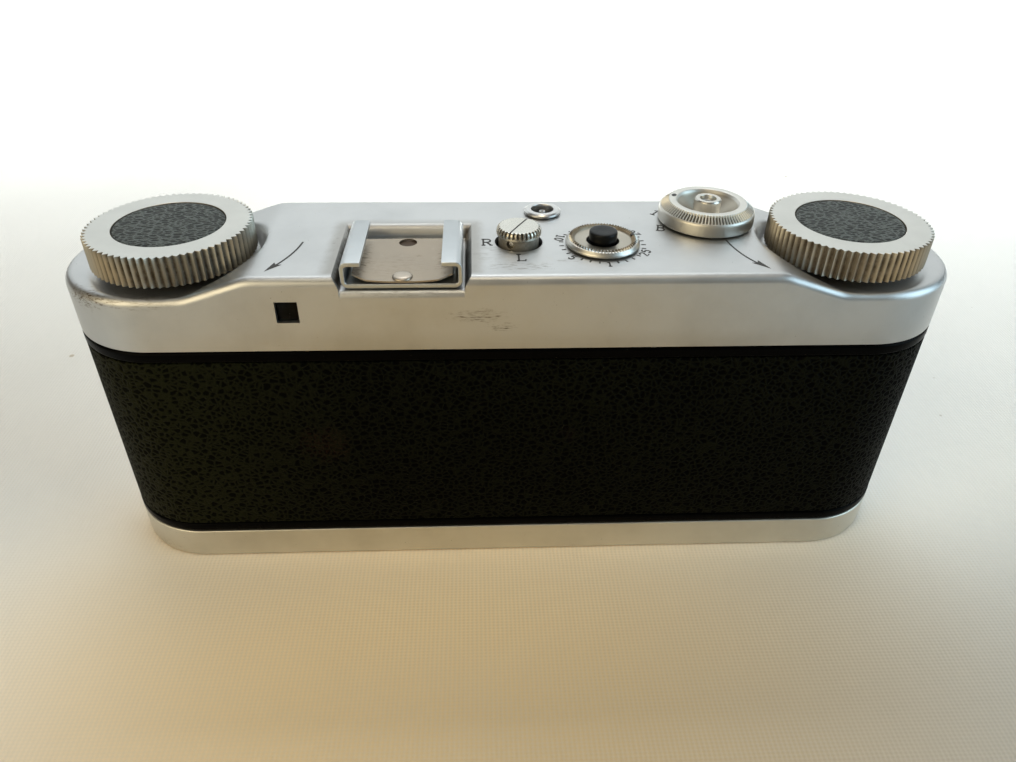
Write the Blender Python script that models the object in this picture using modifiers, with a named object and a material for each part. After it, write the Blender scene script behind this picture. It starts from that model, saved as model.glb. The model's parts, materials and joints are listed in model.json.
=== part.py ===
"""Twin-lens 35 mm stereo camera as an assembly of separate pieces.

Frame: origin at the centre of the base plate's underside, +X towards the
user's left hand (the long way of the body), -Y the way the lenses look,
+Z up.  All sizes below are in millimetres and are scaled to metres.
"""
import math

import bmesh
import bpy
from mathutils import Matrix, Vector

MM = 0.001

# ---------------------------------------------------------------- dimensions
BODY_HALF_W = 80.0          # half of the width over the rounded ends
BODY_R = 16.84              # radius of the rounded ends, half of the depth
END_X = BODY_HALF_W - BODY_R
GAP = 0.3                   # clearance between neighbouring pieces

BASE_TOP = 7.0              # upper edge of the base cover
BASE_WALL = 1.0
BASE_FLOOR = 1.2
SHELL_BOTTOM = 7.2          # black body, between the two bright covers
SHELL_TOP = 50.1
SHELL_WALL_R = 14.9         # inner radius of the body tube
SHELL_RECESS_R = 16.04      # radius of the seat for the leather
RECESS_Z = (9.15, 48.05)
DECK_BOTTOM = 48.1
LIP_R = 15.5
LIP_BOTTOM = 3.5
LEATHER_R = (16.34, 16.80)
LEATHER_Z = (9.45, 47.75)

COVER_BOTTOM = 50.3
LEDGE_Z = 60.5              # low ends of the top cover
PLATE_Z = 64.04             # raised middle of the top cover
SLOPE_X = (44.0, 56.0)      # the slope between them runs over this |x|
COVER_WALL = 1.0
COVER_ROOF = 1.1
COVER_EDGE = 1.2            # radius of the top edge

KNOB_X, KNOB_Y = 60.5, 1.57
KNOB_R, KNOB_ROOT_R = 14.12, 13.5
KNOB_TEETH = 71
KNOB_Z = (61.9, 67.3)
KNOB_RECESS_R = 15.0        # round clearance in the plate for each big knob
INSET_R = 9.3

DIAL_AT = (-36.4, -6.25)
DIAL_R = 8.9
COUNTER_AT = (-15.4, 4.1)
SELECTOR_AT = (-0.54, 2.66)
SELECTOR_ANGLE = 61.6       # way the selector's index slot points
SYNC_AT = (-5.7, -9.96)

SHOE_X = 19.4
SHOE_HALF = 10.05
SHOE_Y = (-1.2, 16.0)
SHOE_Z = (61.9, 66.56)
SHOE_SHEET = 0.75
SHOE_LIP_HALF = 6.6
POCKET_X = (8.0, 30.9)
POCKET_Y0 = -4.6
POCKET_Z = 61.6

LENS_X, LENS_Z = 31.0, 28.2  # half of the stereo base, height of the axes
PANEL_HALF_W = 50.5
PANEL_Z = (11.2, 46.2)
PANEL_Y = (16.35, 18.3)      # distance in front of the body's middle
EYE_X = (36.8, 40.6)
EYE_Z = (55.95, 59.92)
WINDOW_X = (33.2, 44.2)
WINDOW_Z = (53.8, 60.2)

WIND_GEAR_TEETH, SPROCKET_GEAR_TEETH = 18, 15
GEAR_MODULE = 0.75
SPROCKET_ANGLE = 19.2        # direction from the wind axis to the sprocket

LOCK_X, TRIPOD_X = 60.5, -60.5

# ---------------------------------------------------------------- scene setup
for old in list(bpy.data.objects):
    bpy.data.objects.remove(old, do_unlink=True)

PARTS = bpy.data.collections.new("stereo_camera")
CUTTERS = bpy.data.collections.new("cutters")
bpy.context.scene.collection.children.link(PARTS)
bpy.context.scene.collection.children.link(CUTTERS)


def material(name, colour, rough, metal, transmission=0.0):
    mat = bpy.data.materials.new(name)
    mat.use_nodes = True
    bsdf = mat.node_tree.nodes["Principled BSDF"]
    bsdf.inputs["Base Color"].default_value = (*colour, 1.0)
    bsdf.inputs["Roughness"].default_value = rough
    bsdf.inputs["Metallic"].default_value = metal
    bsdf.inputs["Transmission Weight"].default_value = transmission
    return mat


CHROME = material("satin_chrome", (0.72, 0.72, 0.70), 0.35, 1.0)
BRIGHT = material("bright_chrome", (0.80, 0.80, 0.79), 0.18, 1.0)
ENAMEL = material("black_enamel", (0.02, 0.02, 0.022), 0.25, 0.0)
LEATHER = material("black_leather", (0.03, 0.033, 0.03), 0.6, 0.0)
BLACKED = material("blackened_metal", (0.03, 0.03, 0.03), 0.5, 0.6)
STEEL = material("steel", (0.50, 0.50, 0.50), 0.35, 1.0)
BRASS = material("brass", (0.70, 0.52, 0.22), 0.35, 1.0)
GLASS = material("optical_glass", (0.9, 0.93, 0.95), 0.03, 0.0, 1.0)
EBONITE = material("black_ebonite", (0.015, 0.015, 0.015), 0.3, 0.0)
FIBRE = material("insulator", (0.06, 0.05, 0.045), 0.6, 0.0)


# ---------------------------------------------------------------- helpers
def place(obj, mat, cutter=False):
    (CUTTERS if cutter else PARTS).objects.link(obj)
    if cutter:
        obj.hide_render = True
        obj.display_type = "WIRE"
    elif mat:
        obj.data.materials.clear()
        obj.data.materials.append(mat)
    return obj


def from_bm(name, bm, mat=None, cutter=False, smooth=True):
    bmesh.ops.recalc_face_normals(bm, faces=bm.faces)
    mesh = bpy.data.meshes.new(name)
    bm.to_mesh(mesh)
    bm.free()
    if smooth:
        mesh.shade_smooth()
        mesh.set_sharp_from_angle(angle=math.radians(35))
    return place(bpy.data.objects.new(name, mesh), mat, cutter)


def box(name, lo, hi, mat=None, cutter=False):
    bm = bmesh.new()
    bmesh.ops.create_cube(bm, size=1.0)
    mid = [(a + b) / 2 * MM for a, b in zip(lo, hi)]
    size = [(b - a) * MM for a, b in zip(lo, hi)]
    bmesh.ops.scale(bm, vec=size, verts=bm.verts)
    obj = from_bm(name, bm, mat, cutter, smooth=False)
    obj.location = mid
    return obj


def cylinder(name, r, z0, z1, at=(0, 0), seg=32, mat=None, cutter=False):
    bm = bmesh.new()
    bmesh.ops.create_cone(bm, cap_ends=True, segments=seg, radius1=r * MM,
                          radius2=r * MM, depth=(z1 - z0) * MM)
    obj = from_bm(name, bm, mat, cutter)
    obj.location = (at[0] * MM, at[1] * MM, (z0 + z1) / 2 * MM)
    return obj


def facing_front(obj, x, z):
    """Turn a piece made along +Z so that it points along -Y at x, z."""
    obj.rotation_euler = (math.radians(90), 0, 0)
    obj.location = (x * MM, 0, z * MM)
    return obj


def turned(name, profile, at=(0, 0), steps=48, mat=None, cutter=False):
    """Revolve (radius, height) points about Z.

    The points run out from the axis along the top, down the outer side and
    back, so a profile drawn the other way round is reversed first.
    """
    closed = all(r > 1e-6 for r, _ in profile)
    area = sum(a[0] * b[1] - b[0] * a[1]
               for a, b in zip(profile, profile[1:] + profile[:1]))
    if area > 0:
        profile = profile[::-1]
    mesh = bpy.data.meshes.new(name)
    verts = [(r * MM, 0.0, z * MM) for r, z in profile]
    edges = [(i, i + 1) for i in range(len(verts) - 1)]
    if closed:
        edges.append((len(verts) - 1, 0))
    mesh.from_pydata(verts, edges, [])
    obj = place(bpy.data.objects.new(name, mesh), mat, cutter)
    obj.location = (at[0] * MM, at[1] * MM, 0)
    screw = obj.modifiers.new("turn", "SCREW")
    screw.axis = "Z"
    screw.angle = math.tau
    screw.steps = screw.render_steps = steps
    screw.use_merge_vertices = True
    screw.merge_threshold = 0.000005
    screw.use_smooth_shade = True
    return obj


def prism(name, outline, z0, z1, at=(0, 0), mat=None, cutter=False):
    """Flat outline in X and Y, extruded from z0 to z1."""
    curve = bpy.data.curves.new(name + "_outline", "CURVE")
    curve.dimensions = "2D"
    curve.fill_mode = "BOTH"
    curve.extrude = (z1 - z0) / 2 * MM
    spline = curve.splines.new("POLY")
    spline.points.add(len(outline) - 1)
    for p, (x, y) in zip(spline.points, outline):
        p.co = (x * MM, y * MM, 0, 1)
    spline.use_cyclic_u = True
    tmp = bpy.data.objects.new(name + "_curve", curve)
    bpy.context.scene.collection.objects.link(tmp)
    bpy.context.view_layer.update()
    mesh = bpy.data.meshes.new_from_object(
        tmp.evaluated_get(bpy.context.evaluated_depsgraph_get()))
    bpy.data.objects.remove(tmp, do_unlink=True)
    bpy.data.curves.remove(curve)
    bm = bmesh.new()
    bm.from_mesh(mesh)
    bpy.data.meshes.remove(mesh)
    bmesh.ops.remove_doubles(bm, verts=bm.verts, dist=0.000002)
    bmesh.ops.dissolve_limit(bm, angle_limit=math.radians(0.2),
                             verts=bm.verts, edges=bm.edges)
    obj = from_bm(name, bm, mat, cutter)
    obj.location = (at[0] * MM, at[1] * MM, (z0 + z1) / 2 * MM)
    return obj


def boolean(obj, tool, op="DIFFERENCE"):
    mod = obj.modifiers.new(op.lower() + "_" + tool.name, "BOOLEAN")
    mod.operation = op
    mod.solver = "EXACT"
    mod.object = tool
    return obj


def bake(obj):
    """Replace an object's mesh by its evaluated one and drop its modifiers."""
    bpy.context.view_layer.update()
    mesh = bpy.data.meshes.new_from_object(
        obj.evaluated_get(bpy.context.evaluated_depsgraph_get()))
    obj.modifiers.clear()
    obj.data = mesh
    return obj


def drop(*objs):
    for o in objs:
        bpy.data.objects.remove(o, do_unlink=True)


def stadium(r, seg=14):
    """Outline with round ends of radius r about the body's two end centres."""
    s = END_X
    pts = []
    for i in range(seg + 1):
        a = math.radians(-90 + 180 * i / seg)
        pts.append((s + r * math.cos(a), r * math.sin(a)))
    for i in range(seg + 1):
        a = math.radians(90 + 180 * i / seg)
        pts.append((-s + r * math.cos(a), r * math.sin(a)))
    return pts


def rounded_rect(hx, hy, r, seg=6):
    pts = []
    for cx, cy, a0 in ((hx - r, hy - r, 0), (-hx + r, hy - r, 90),
                       (-hx + r, -hy + r, 180), (hx - r, -hy + r, 270)):
        for i in range(seg + 1):
            a = math.radians(a0 + 90 * i / seg)
            pts.append((cx + r * math.cos(a), cy + r * math.sin(a)))
    return pts


def toothed(r_tip, r_root, teeth, tip_part=0.0, root_part=0.0, phase=0.0):
    """Outline with straight-sided teeth.

    tip_part and root_part are the parts of the pitch that the flat tip and
    the flat root take; zero makes a plain V.
    """
    pts = []
    pitch = math.tau / teeth
    for i in range(teeth):
        a = math.radians(phase) + i * pitch
        if tip_part > 0:
            pts.append((r_tip, a - pitch * tip_part / 2))
            pts.append((r_tip, a + pitch * tip_part / 2))
        else:
            pts.append((r_tip, a))
        if root_part > 0:
            pts.append((r_root, a + pitch * (0.5 - root_part / 2)))
            pts.append((r_root, a + pitch * (0.5 + root_part / 2)))
        else:
            pts.append((r_root, a + pitch / 2))
    return [(r * math.cos(a), r * math.sin(a)) for r, a in pts]


def square_funnel(name, x, z, y0, y1, half0, half1, wall, mat):
    """Tapered rectangular tube along Y, from y0 to y1, open at both ends."""
    bm = bmesh.new()
    rings = []
    for y, (hx, hz), t in ((y0, half0, wall), (y1, half1, wall),
                           (y1, half1, 0), (y0, half0, 0)):
        rings.append([bm.verts.new(((x + sx * (hx + t)) * MM, y * MM,
                                    (z + sz * (hz + t)) * MM))
                      for sx, sz in ((1, 1), (-1, 1), (-1, -1), (1, -1))])
    for k in range(4):
        a, b = rings[k], rings[(k + 1) % 4]
        for i in range(4):
            j = (i + 1) % 4
            bm.faces.new((a[i], a[j], b[j], b[i]))
    return from_bm(name, bm, mat, smooth=False)


def body_loft(name, levels, mat=None):
    """Section of (end radius, height) points carried round the body's plan,
    closed by a flat face at its first and its last point."""
    bm = bmesh.new()
    rings = [[bm.verts.new((x * MM, y * MM, z * MM)) for x, y in stadium(r)]
             for r, z in levels]
    for a, b in zip(rings, rings[1:]):
        for i in range(len(a)):
            j = (i + 1) % len(a)
            bm.faces.new((a[i], a[j], b[j], b[i]))
    bm.faces.new(rings[0])
    bm.faces.new(rings[-1])
    return from_bm(name, bm, mat)


def cover_height(x):
    """Height of the top cover's roof at x: low ends, raised middle."""
    t = (SLOPE_X[1] - abs(x)) / (SLOPE_X[1] - SLOPE_X[0])
    t = min(1.0, max(0.0, t))
    return LEDGE_Z + (PLATE_Z - LEDGE_Z) * t * t * (3 - 2 * t)


def cover_outline(offset, seg=14, slope_steps=6):
    """Half-outline stations (x, half width) from +X to -X, for a loft."""
    r = BODY_R - offset
    st = [(END_X + r * math.cos(math.radians(90 * i / (seg // 2))),
           r * math.sin(math.radians(90 * i / (seg // 2))))
          for i in range(seg // 2 + 1)]
    for i in range(slope_steps + 1):
        x = SLOPE_X[1] - (SLOPE_X[1] - SLOPE_X[0]) * i / slope_steps
        st.append((x, r))
    return st + [(-x, w) for x, w in st[::-1]]


def cover_loft(name, levels, mat=None, cutter=False):
    """Body with the cover's plan and roof line.

    levels are (inset of the outline, height, measured from the roof or not),
    from the bottom to the roof.
    """
    bm = bmesh.new()
    rings = []
    for inset, z, from_roof in levels:
        st = cover_outline(inset)
        hs = [cover_height(x) + z if from_roof else z for x, _ in st]
        back = [bm.verts.new((x * MM, w * MM, h * MM))
                for (x, w), h in zip(st, hs)]
        front = [bm.verts.new((x * MM, -w * MM, h * MM))
                 for (x, w), h in zip(st[1:-1], hs[1:-1])]
        rings.append((back, front))
    for (b0, f0), (b1, f1) in zip(rings, rings[1:]):
        r0, r1 = b0 + f0[::-1], b1 + f1[::-1]
        n = len(r0)
        for i in range(n):
            j = (i + 1) % n
            bm.faces.new((r0[i], r0[j], r1[j], r1[i]))
    for back, front in (rings[0], rings[-1]):
        front = [back[0]] + front + [back[-1]]
        for i in range(len(back) - 1):
            quad = [back[i], back[i + 1], front[i + 1], front[i]]
            bm.faces.new(list(dict.fromkeys(quad)))
    return from_bm(name, bm, mat, cutter)


# ---------------------------------------------------------------- base
base = body_loft("bottom_cover",
                 [(BODY_R - BASE_WALL, BASE_FLOOR),
                  (BODY_R - BASE_WALL, BASE_TOP), (BODY_R, BASE_TOP),
                  (BODY_R, 0.5), (BODY_R - 0.5, 0.0)], CHROME)
boolean(base, cylinder("cut_lock", 8.3, -1, 4, (LOCK_X, 0), 28, cutter=True))
boolean(base, cylinder("cut_tripod", 5.5, -1, 4, (TRIPOD_X, 0), 20,
                       cutter=True))

key = turned("base_lock_key", [(0, 3.1), (3.6, 3.1), (3.6, 1.9), (8.0, 1.9),
                               (8.0, 0.25), (0, 0.25)],
             (LOCK_X, 0), 28, BRIGHT)
for side in (1, -1):
    moon = cylinder("cut_moon_%d" % (side > 0), 6.6, -1, 1.1,
                    (LOCK_X, 0), 32, cutter=True)
    clip = box("clip_moon_%d" % (side > 0), (LOCK_X - 9, min(side * 1.1,
               side * 9), -2), (LOCK_X + 9, max(side * 1.1, side * 9), 2),
               cutter=True)
    boolean(moon, clip, "INTERSECT")
    boolean(key, moon)
box("base_lock_bar", (LOCK_X - 12, -3, 3.4), (LOCK_X + 12, 3, 4.7), STEEL)
turned("tripod_bush", [(3.2, 6.0), (5.2, 6.0), (5.2, 2.8), (7.6, 2.8),
                       (7.6, 1.5), (5.2, 1.5), (5.2, 0.2), (3.2, 0.2)],
       (TRIPOD_X, 0), 20, STEEL)

# ---------------------------------------------------------------- body shell
shell = body_loft("body_shell",
                  [(BODY_R, SHELL_TOP), (BODY_R, RECESS_Z[1]),
                   (SHELL_RECESS_R, RECESS_Z[1]),
                   (SHELL_RECESS_R, RECESS_Z[0]), (BODY_R, RECESS_Z[0]),
                   (BODY_R, SHELL_BOTTOM), (LIP_R, SHELL_BOTTOM),
                   (LIP_R, LIP_BOTTOM), (SHELL_WALL_R, LIP_BOTTOM),
                   (SHELL_WALL_R, DECK_BOTTOM)], ENAMEL)
for name, x, y, r in (("wind", -KNOB_X, KNOB_Y, 3.2),
                      ("rewind", KNOB_X, KNOB_Y, 3.2)):
    boolean(shell, cylinder("cut_deck_" + name, r, 47, 52, (x, y), 24,
                            cutter=True))
gear_gap = GEAR_MODULE * (WIND_GEAR_TEETH + SPROCKET_GEAR_TEETH) / 2
sprocket_at = (-KNOB_X + gear_gap * math.cos(math.radians(SPROCKET_ANGLE)),
               KNOB_Y + gear_gap * math.sin(math.radians(SPROCKET_ANGLE)))
boolean(shell, cylinder("cut_deck_sprocket", 1.9, 47, 52, sprocket_at, 20,
                        cutter=True))
for side, x in (("left", LENS_X), ("right", -LENS_X)):
    hole = cylinder("cut_front_" + side, 12.4, 0, 30, (0, 0), 28, cutter=True)
    facing_front(hole, x, LENS_Z)
    hole.location.y = -15 * MM
    boolean(shell, hole)

skin = prism("body_leather", stadium(LEATHER_R[1]), *LEATHER_Z, mat=LEATHER)
boolean(skin, prism("cut_skin_in", stadium(LEATHER_R[0]), 5, 55, cutter=True))
panel_mid = (PANEL_Z[0] + PANEL_Z[1]) / 2
panel_hh = (PANEL_Z[1] - PANEL_Z[0]) / 2
skin_cut = prism("cut_skin_panel",
                 rounded_rect(PANEL_HALF_W + GAP, panel_hh + GAP, 9.3),
                 10, 25, cutter=True)
skin_cut.rotation_euler = (math.radians(90), 0, 0)
skin_cut.location = (0, -17.5 * MM, panel_mid * MM)
boolean(skin, skin_cut)

# ---------------------------------------------------------------- top cover
top = cover_loft("top_cover", [(0.25, COVER_BOTTOM, False),
                               (0.0, COVER_BOTTOM + 0.3, False),
                               (0.0, -COVER_EDGE, True),
                               (0.3 * COVER_EDGE, -0.3 * COVER_EDGE, True),
                               (COVER_EDGE, 0.0, True)], mat=CHROME)
cavity = cover_loft("cut_cover_in", [(COVER_WALL, 49.0, False),
                                     (COVER_WALL, -COVER_ROOF - 0.6, True),
                                     (COVER_WALL + 0.6, -COVER_ROOF, True)],
                    cutter=True)
boolean(cavity, box("keep_pocket", (POCKET_X[0] - 1.1, POCKET_Y0 - 1.1,
                                    POCKET_Z - 1.1),
                    (POCKET_X[1] + 1.1, 20, 70), cutter=True))
boolean(top, cavity)
boolean(top, box("cut_pocket", (POCKET_X[0], POCKET_Y0, POCKET_Z),
                 (POCKET_X[1], 20, 70), cutter=True))
for side in (1, -1):
    boolean(top, cylinder("cut_recess_%d" % (side > 0), KNOB_RECESS_R,
                          LEDGE_Z + 0.02, 70, (side * KNOB_X, KNOB_Y), 36,
                          cutter=True))
for name, x, y, r, seg in (("wind", -KNOB_X, KNOB_Y, 4.3, 24),
                           ("rewind", KNOB_X, KNOB_Y, 4.3, 24),
                           ("dial", *DIAL_AT, 2.8, 20),
                           ("counter", *COUNTER_AT, 3.4, 24),
                           ("selector", *SELECTOR_AT, 4.23, 28),
                           ("sync", *SYNC_AT, 3.2, 24)):
    boolean(top, cylinder("cut_top_" + name, r, 57, 70, (x, y), seg,
                          cutter=True))
boolean(top, box("cut_eye", (EYE_X[0], 10, EYE_Z[0]), (EYE_X[1], 20, EYE_Z[1]),
                 cutter=True))
boolean(top, box("cut_window", (WINDOW_X[0], -20, WINDOW_Z[0]),
                 (WINDOW_X[1], -10, WINDOW_Z[1]), cutter=True))

# ---------------------------------------------------------------- big knobs
for name, x in (("wind", -KNOB_X), ("rewind", KNOB_X)):
    knob = prism(name + "_knob", toothed(KNOB_R, KNOB_ROOT_R, KNOB_TEETH),
                 *KNOB_Z, at=(x, KNOB_Y), mat=CHROME)
    boolean(knob, cylinder("cut_inset_" + name, INSET_R + GAP, 66.6, 69,
                           (x, KNOB_Y), 32, cutter=True))
    boolean(knob, cylinder("cut_bore_" + name, 2.9, 60, 65.4, (x, KNOB_Y), 24,
                           cutter=True))
    cylinder(name + "_knob_inset", INSET_R, 66.85, 67.25, (x, KNOB_Y), 32,
             LEATHER)
    turned(name + "_bearing", [(2.9, 61.5), (5.6, 61.5), (5.6, 60.8),
                               (4.0, 60.8), (4.0, 58.0), (2.9, 58.0)],
           (x, KNOB_Y), 24, BRASS)

cylinder("wind_shaft", 2.6, 8.5, 65.1, (-KNOB_X, KNOB_Y), 20, STEEL)
rewind_shaft = cylinder("rewind_shaft", 2.6, 41.0, 65.1, (KNOB_X, KNOB_Y), 20,
                        STEEL)
boolean(rewind_shaft, box("cut_fork", (KNOB_X - 0.8, -3, 38),
                          (KNOB_X + 0.8, 6, 46), cutter=True))

# ---------------------------------------------------------------- film drive
turned("takeup_spool", [(2.9, 47.4), (10.5, 47.4), (10.5, 46.4), (5.0, 46.4),
                        (5.0, 10.0), (10.5, 10.0), (10.5, 9.0), (2.9, 9.0)],
       (-KNOB_X, KNOB_Y), 24, BLACKED)
wind_pitch_r = GEAR_MODULE * WIND_GEAR_TEETH / 2
sprk_pitch_r = GEAR_MODULE * SPROCKET_GEAR_TEETH / 2
gear = prism("wind_gear", toothed(wind_pitch_r + 0.50, wind_pitch_r - 0.85,
                                  WIND_GEAR_TEETH, 0.16, 0.40,
                                  SPROCKET_ANGLE),
             52.0, 54.5, at=(-KNOB_X, KNOB_Y), mat=BRASS)
boolean(gear, cylinder("cut_wind_gear", 2.9, 50, 57, (-KNOB_X, KNOB_Y), 20,
                       cutter=True))
gear = prism("sprocket_gear",
             toothed(sprk_pitch_r + 0.50, sprk_pitch_r - 0.85,
                     SPROCKET_GEAR_TEETH, 0.16, 0.40,
                     180 + SPROCKET_ANGLE + 180 / SPROCKET_GEAR_TEETH),
             52.0, 54.5, at=sprocket_at, mat=BRASS)
boolean(gear, cylinder("cut_sprocket_gear", 1.8, 50, 57, sprocket_at, 16,
                       cutter=True))
sprocket = turned("sprocket", [(0, 55.5), (1.5, 55.5), (1.5, 45.2),
                               (4.4, 45.2), (4.4, 11.2), (1.5, 11.2),
                               (1.5, 8.8), (0, 8.8)], sprocket_at, 24, STEEL)
for n, z in enumerate((14.2, 42.2)):
    crown = prism("crown_%d" % n, toothed(5.5, 4.0, 6, 0.10, 0.62), z - 0.7,
                  z + 0.7, at=sprocket_at, cutter=True)
    boolean(sprocket, crown, "UNION")

gate = box("film_gate", (-43.9, 9.9, 9.6), (43.9, 11.6, 46.9), BLACKED)
for n, x in enumerate((LENS_X, -LENS_X)):
    boolean(gate, box("cut_gate_%d" % n, (x - 11, 5, LENS_Z - 12),
                      (x + 11, 15, LENS_Z + 12), cutter=True))
for side, x in (("left", LENS_X), ("right", -LENS_X)):
    square_funnel("light_tunnel_" + side, x, LENS_Z, -13.9, 9.6, (7.8, 7.8),
                  (11.0, 12.0), 0.8, BLACKED)
box("pressure_plate", (-44, 12.3, 10), (44, 13.1, 46.4), BLACKED)


def leaf(name, half_len, half_w, sag, sheet, steps, mat):
    """Bowed strip along X; the middle stands proud of the ends by sag."""
    top_side = []
    for i in range(steps + 1):
        x = -half_len + 2 * half_len * i / steps
        top_side.append((x, sag * (1 - (x / half_len) ** 2)))
    outline = top_side + [(x, y - sheet) for x, y in top_side[::-1]]
    return prism(name, outline, -half_w, half_w, mat=mat)


spring = leaf("pressure_spring", 30, 7, 0.7, 0.25, 12, STEEL)
spring.location = (0, 13.75 * MM, LENS_Z * MM)

# ---------------------------------------------------------------- lens unit
panel = prism("lens_panel", rounded_rect(PANEL_HALF_W, panel_hh, 9.0),
              *PANEL_Y, mat=CHROME)
facing_front(panel, 0, panel_mid)
panel.location.y = -(PANEL_Y[0] + PANEL_Y[1]) / 2 * MM
for side, x in (("left", LENS_X), ("right", -LENS_X)):
    hole = cylinder("cut_panel_" + side, 12.4, 0, 30, (0, 0), 28, cutter=True)
    facing_front(hole, x, LENS_Z)
    hole.location.y = -15 * MM
    boolean(panel, hole)
n = 0
for x in (-45.5, 45.5):
    for z in (PANEL_Z[0] + 5.2, PANEL_Z[1] - 5.2):
        n += 1
        seat = cylinder("cut_screw_%d" % n, 2.0, 0, 4, (0, 0), 16, cutter=True)
        facing_front(seat, x, z)
        seat.location.y = -19.2 * MM
        boolean(panel, seat)
        screw = turned("panel_screw_%d" % n, [(0, 18.35), (1.2, 18.35),
                                              (1.7, 18.1), (1.7, 17.5),
                                              (0, 17.5)], steps=14, mat=BRIGHT)
        facing_front(screw, x, z)
        slot = box("cut_slot_%d" % n, (x - 3, -19, z - 0.2),
                   (x + 3, -18.05, z + 0.2), cutter=True)
        boolean(screw, slot)

for side, x in (("left", LENS_X), ("right", -LENS_X)):
    def unit(obj):
        return facing_front(obj, x, LENS_Z)
    unit(turned("lens_barrel_" + side,
                [(7.6, 14.4), (12.0, 14.4), (12.0, 18.6), (13.8, 18.6),
                 (13.8, 19.6), (12.0, 19.6), (12.0, 28.9), (11.5, 29.4),
                 (10.8, 29.4), (8.4, 26.2), (7.6, 26.2)], steps=28,
                mat=CHROME))
    ring = prism("focus_ring_" + side, toothed(14.6, 14.0, 40),
                 19.9, 25.1, mat=CHROME)
    boolean(ring, cylinder("cut_focus_" + side, 12.3, 15, 30, (0, 0), 28,
                           cutter=True))
    bake(ring)
    ring.data.transform(Matrix.Translation((0, 0, ring.location.z)))
    unit(ring)
    unit(turned("aperture_ring_" + side,
                [(12.3, 25.4), (13.5, 25.4), (13.5, 27.9), (13.1, 28.4),
                 (12.3, 28.4)], steps=28, mat=BRIGHT))
    unit(turned("front_glass_" + side,
                [(0, 25.6), (3.0, 25.4), (5.4, 24.8), (7.3, 23.9),
                 (7.3, 22.6), (0, 22.2)], steps=24, mat=GLASS))
    unit(turned("iris_" + side, [(3.2, 20.9), (7.3, 20.9), (7.3, 20.5),
                                 (3.2, 20.5)], steps=24, mat=BLACKED))
    unit(turned("shutter_blades_" + side, [(0, 19.2), (7.3, 19.2),
                                           (7.3, 18.8), (0, 18.8)],
                steps=24, mat=BLACKED))
    unit(turned("rear_glass_" + side,
                [(0, 17.3), (7.3, 17.0), (7.3, 15.8), (4.0, 15.2),
                 (0, 15.0)], steps=24, mat=GLASS))

for cutter_name in ("cut_focus_left", "cut_focus_right"):
    drop(bpy.data.objects[cutter_name])

# ---------------------------------------------------------------- dial
turned("speed_dial", [(2.8, 64.34), (8.75, 64.34), (8.9, 64.5), (8.9, 66.4),
                      (8.65, 66.8), (7.15, 67.5), (5.55, 67.5), (5.3, 67.2),
                      (2.8, 65.1)], DIAL_AT, 40, CHROME)
turned("dial_post", [(0, 58.0), (2.47, 58.0), (2.47, 68.2), (2.2, 68.5),
                     (1.75, 68.5), (1.7, 67.0), (0, 67.0)], DIAL_AT, 20,
       BRIGHT)
cylinder("dial_post_screw", 1.35, 67.2, 68.0, DIAL_AT, 20, STEEL)

# ---------------------------------------------------------------- counter
turned("counter_ring", [(2.9, 64.34), (6.6, 64.34), (6.6, 64.75), (6.1, 65.3),
                        (5.85, 65.6), (5.4, 65.6), (5.0, 64.9), (2.9, 64.8)],
       COUNTER_AT, 32, CHROME)
turned("release_button", [(0, 66.75), (2.1, 66.75), (2.45, 66.6), (2.5, 66.3),
                          (2.5, 65.6), (2.45, 64.95), (2.0, 64.9),
                          (1.6, 64.9), (1.6, 56.0), (0, 56.0)], COUNTER_AT,
       20, EBONITE)

# ---------------------------------------------------------------- selector
selector = turned("selector_knob", [(0, 67.1), (3.55, 67.1), (4.0, 66.7),
                                    (4.0, 65.5), (3.6, 65.35), (3.6, 58.0),
                                    (0, 58.0)], SELECTOR_AT, 28, BRIGHT)
for nm, lo, hi in (("slot", (-3.0, -0.2, 66.85), (3.0, 0.2, 68)),):
    cut = box("cut_selector_" + nm, lo, hi, cutter=True)
    cut.location = (SELECTOR_AT[0] * MM, SELECTOR_AT[1] * MM, cut.location.z)
    cut.rotation_euler = (0, 0, math.radians(SELECTOR_ANGLE))
    boolean(selector, cut)
sel_dir = Vector((math.cos(math.radians(SELECTOR_ANGLE)),
                  math.sin(math.radians(SELECTOR_ANGLE)), 0))
screw_hole = cylinder("cut_selector_screw", 0.75, -1.6, 1.6, (0, 0), 16,
                      cutter=True)
screw_hole.rotation_euler = sel_dir.to_track_quat("Z", "Y").to_euler()
screw_hole.location = (Vector((SELECTOR_AT[0], SELECTOR_AT[1], 64.75))
                       + sel_dir * 3.4) * MM
boolean(selector, screw_hole)
screw = cylinder("selector_screw", 0.5, -0.5, 0.5, (0, 0), 12, STEEL)
screw.rotation_euler = sel_dir.to_track_quat("Z", "Y").to_euler()
screw.location = (Vector((SELECTOR_AT[0], SELECTOR_AT[1], 64.75))
                  + sel_dir * 2.65) * MM

# ---------------------------------------------------------------- sync socket
turned("sync_collar", [(2.13, 65.0), (3.3, 65.0), (3.5, 64.8), (3.5, 64.34),
                       (2.9, 64.34), (2.9, 59.5), (2.13, 59.5)], SYNC_AT, 20,
       CHROME)
turned("sync_insulator", [(0.9, 62.3), (1.83, 62.3), (1.83, 59.5),
                          (0.9, 59.5)], SYNC_AT, 20, FIBRE)
cylinder("sync_pin", 0.6, 58.8, 64.5, SYNC_AT, 14, BRASS)

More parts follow.
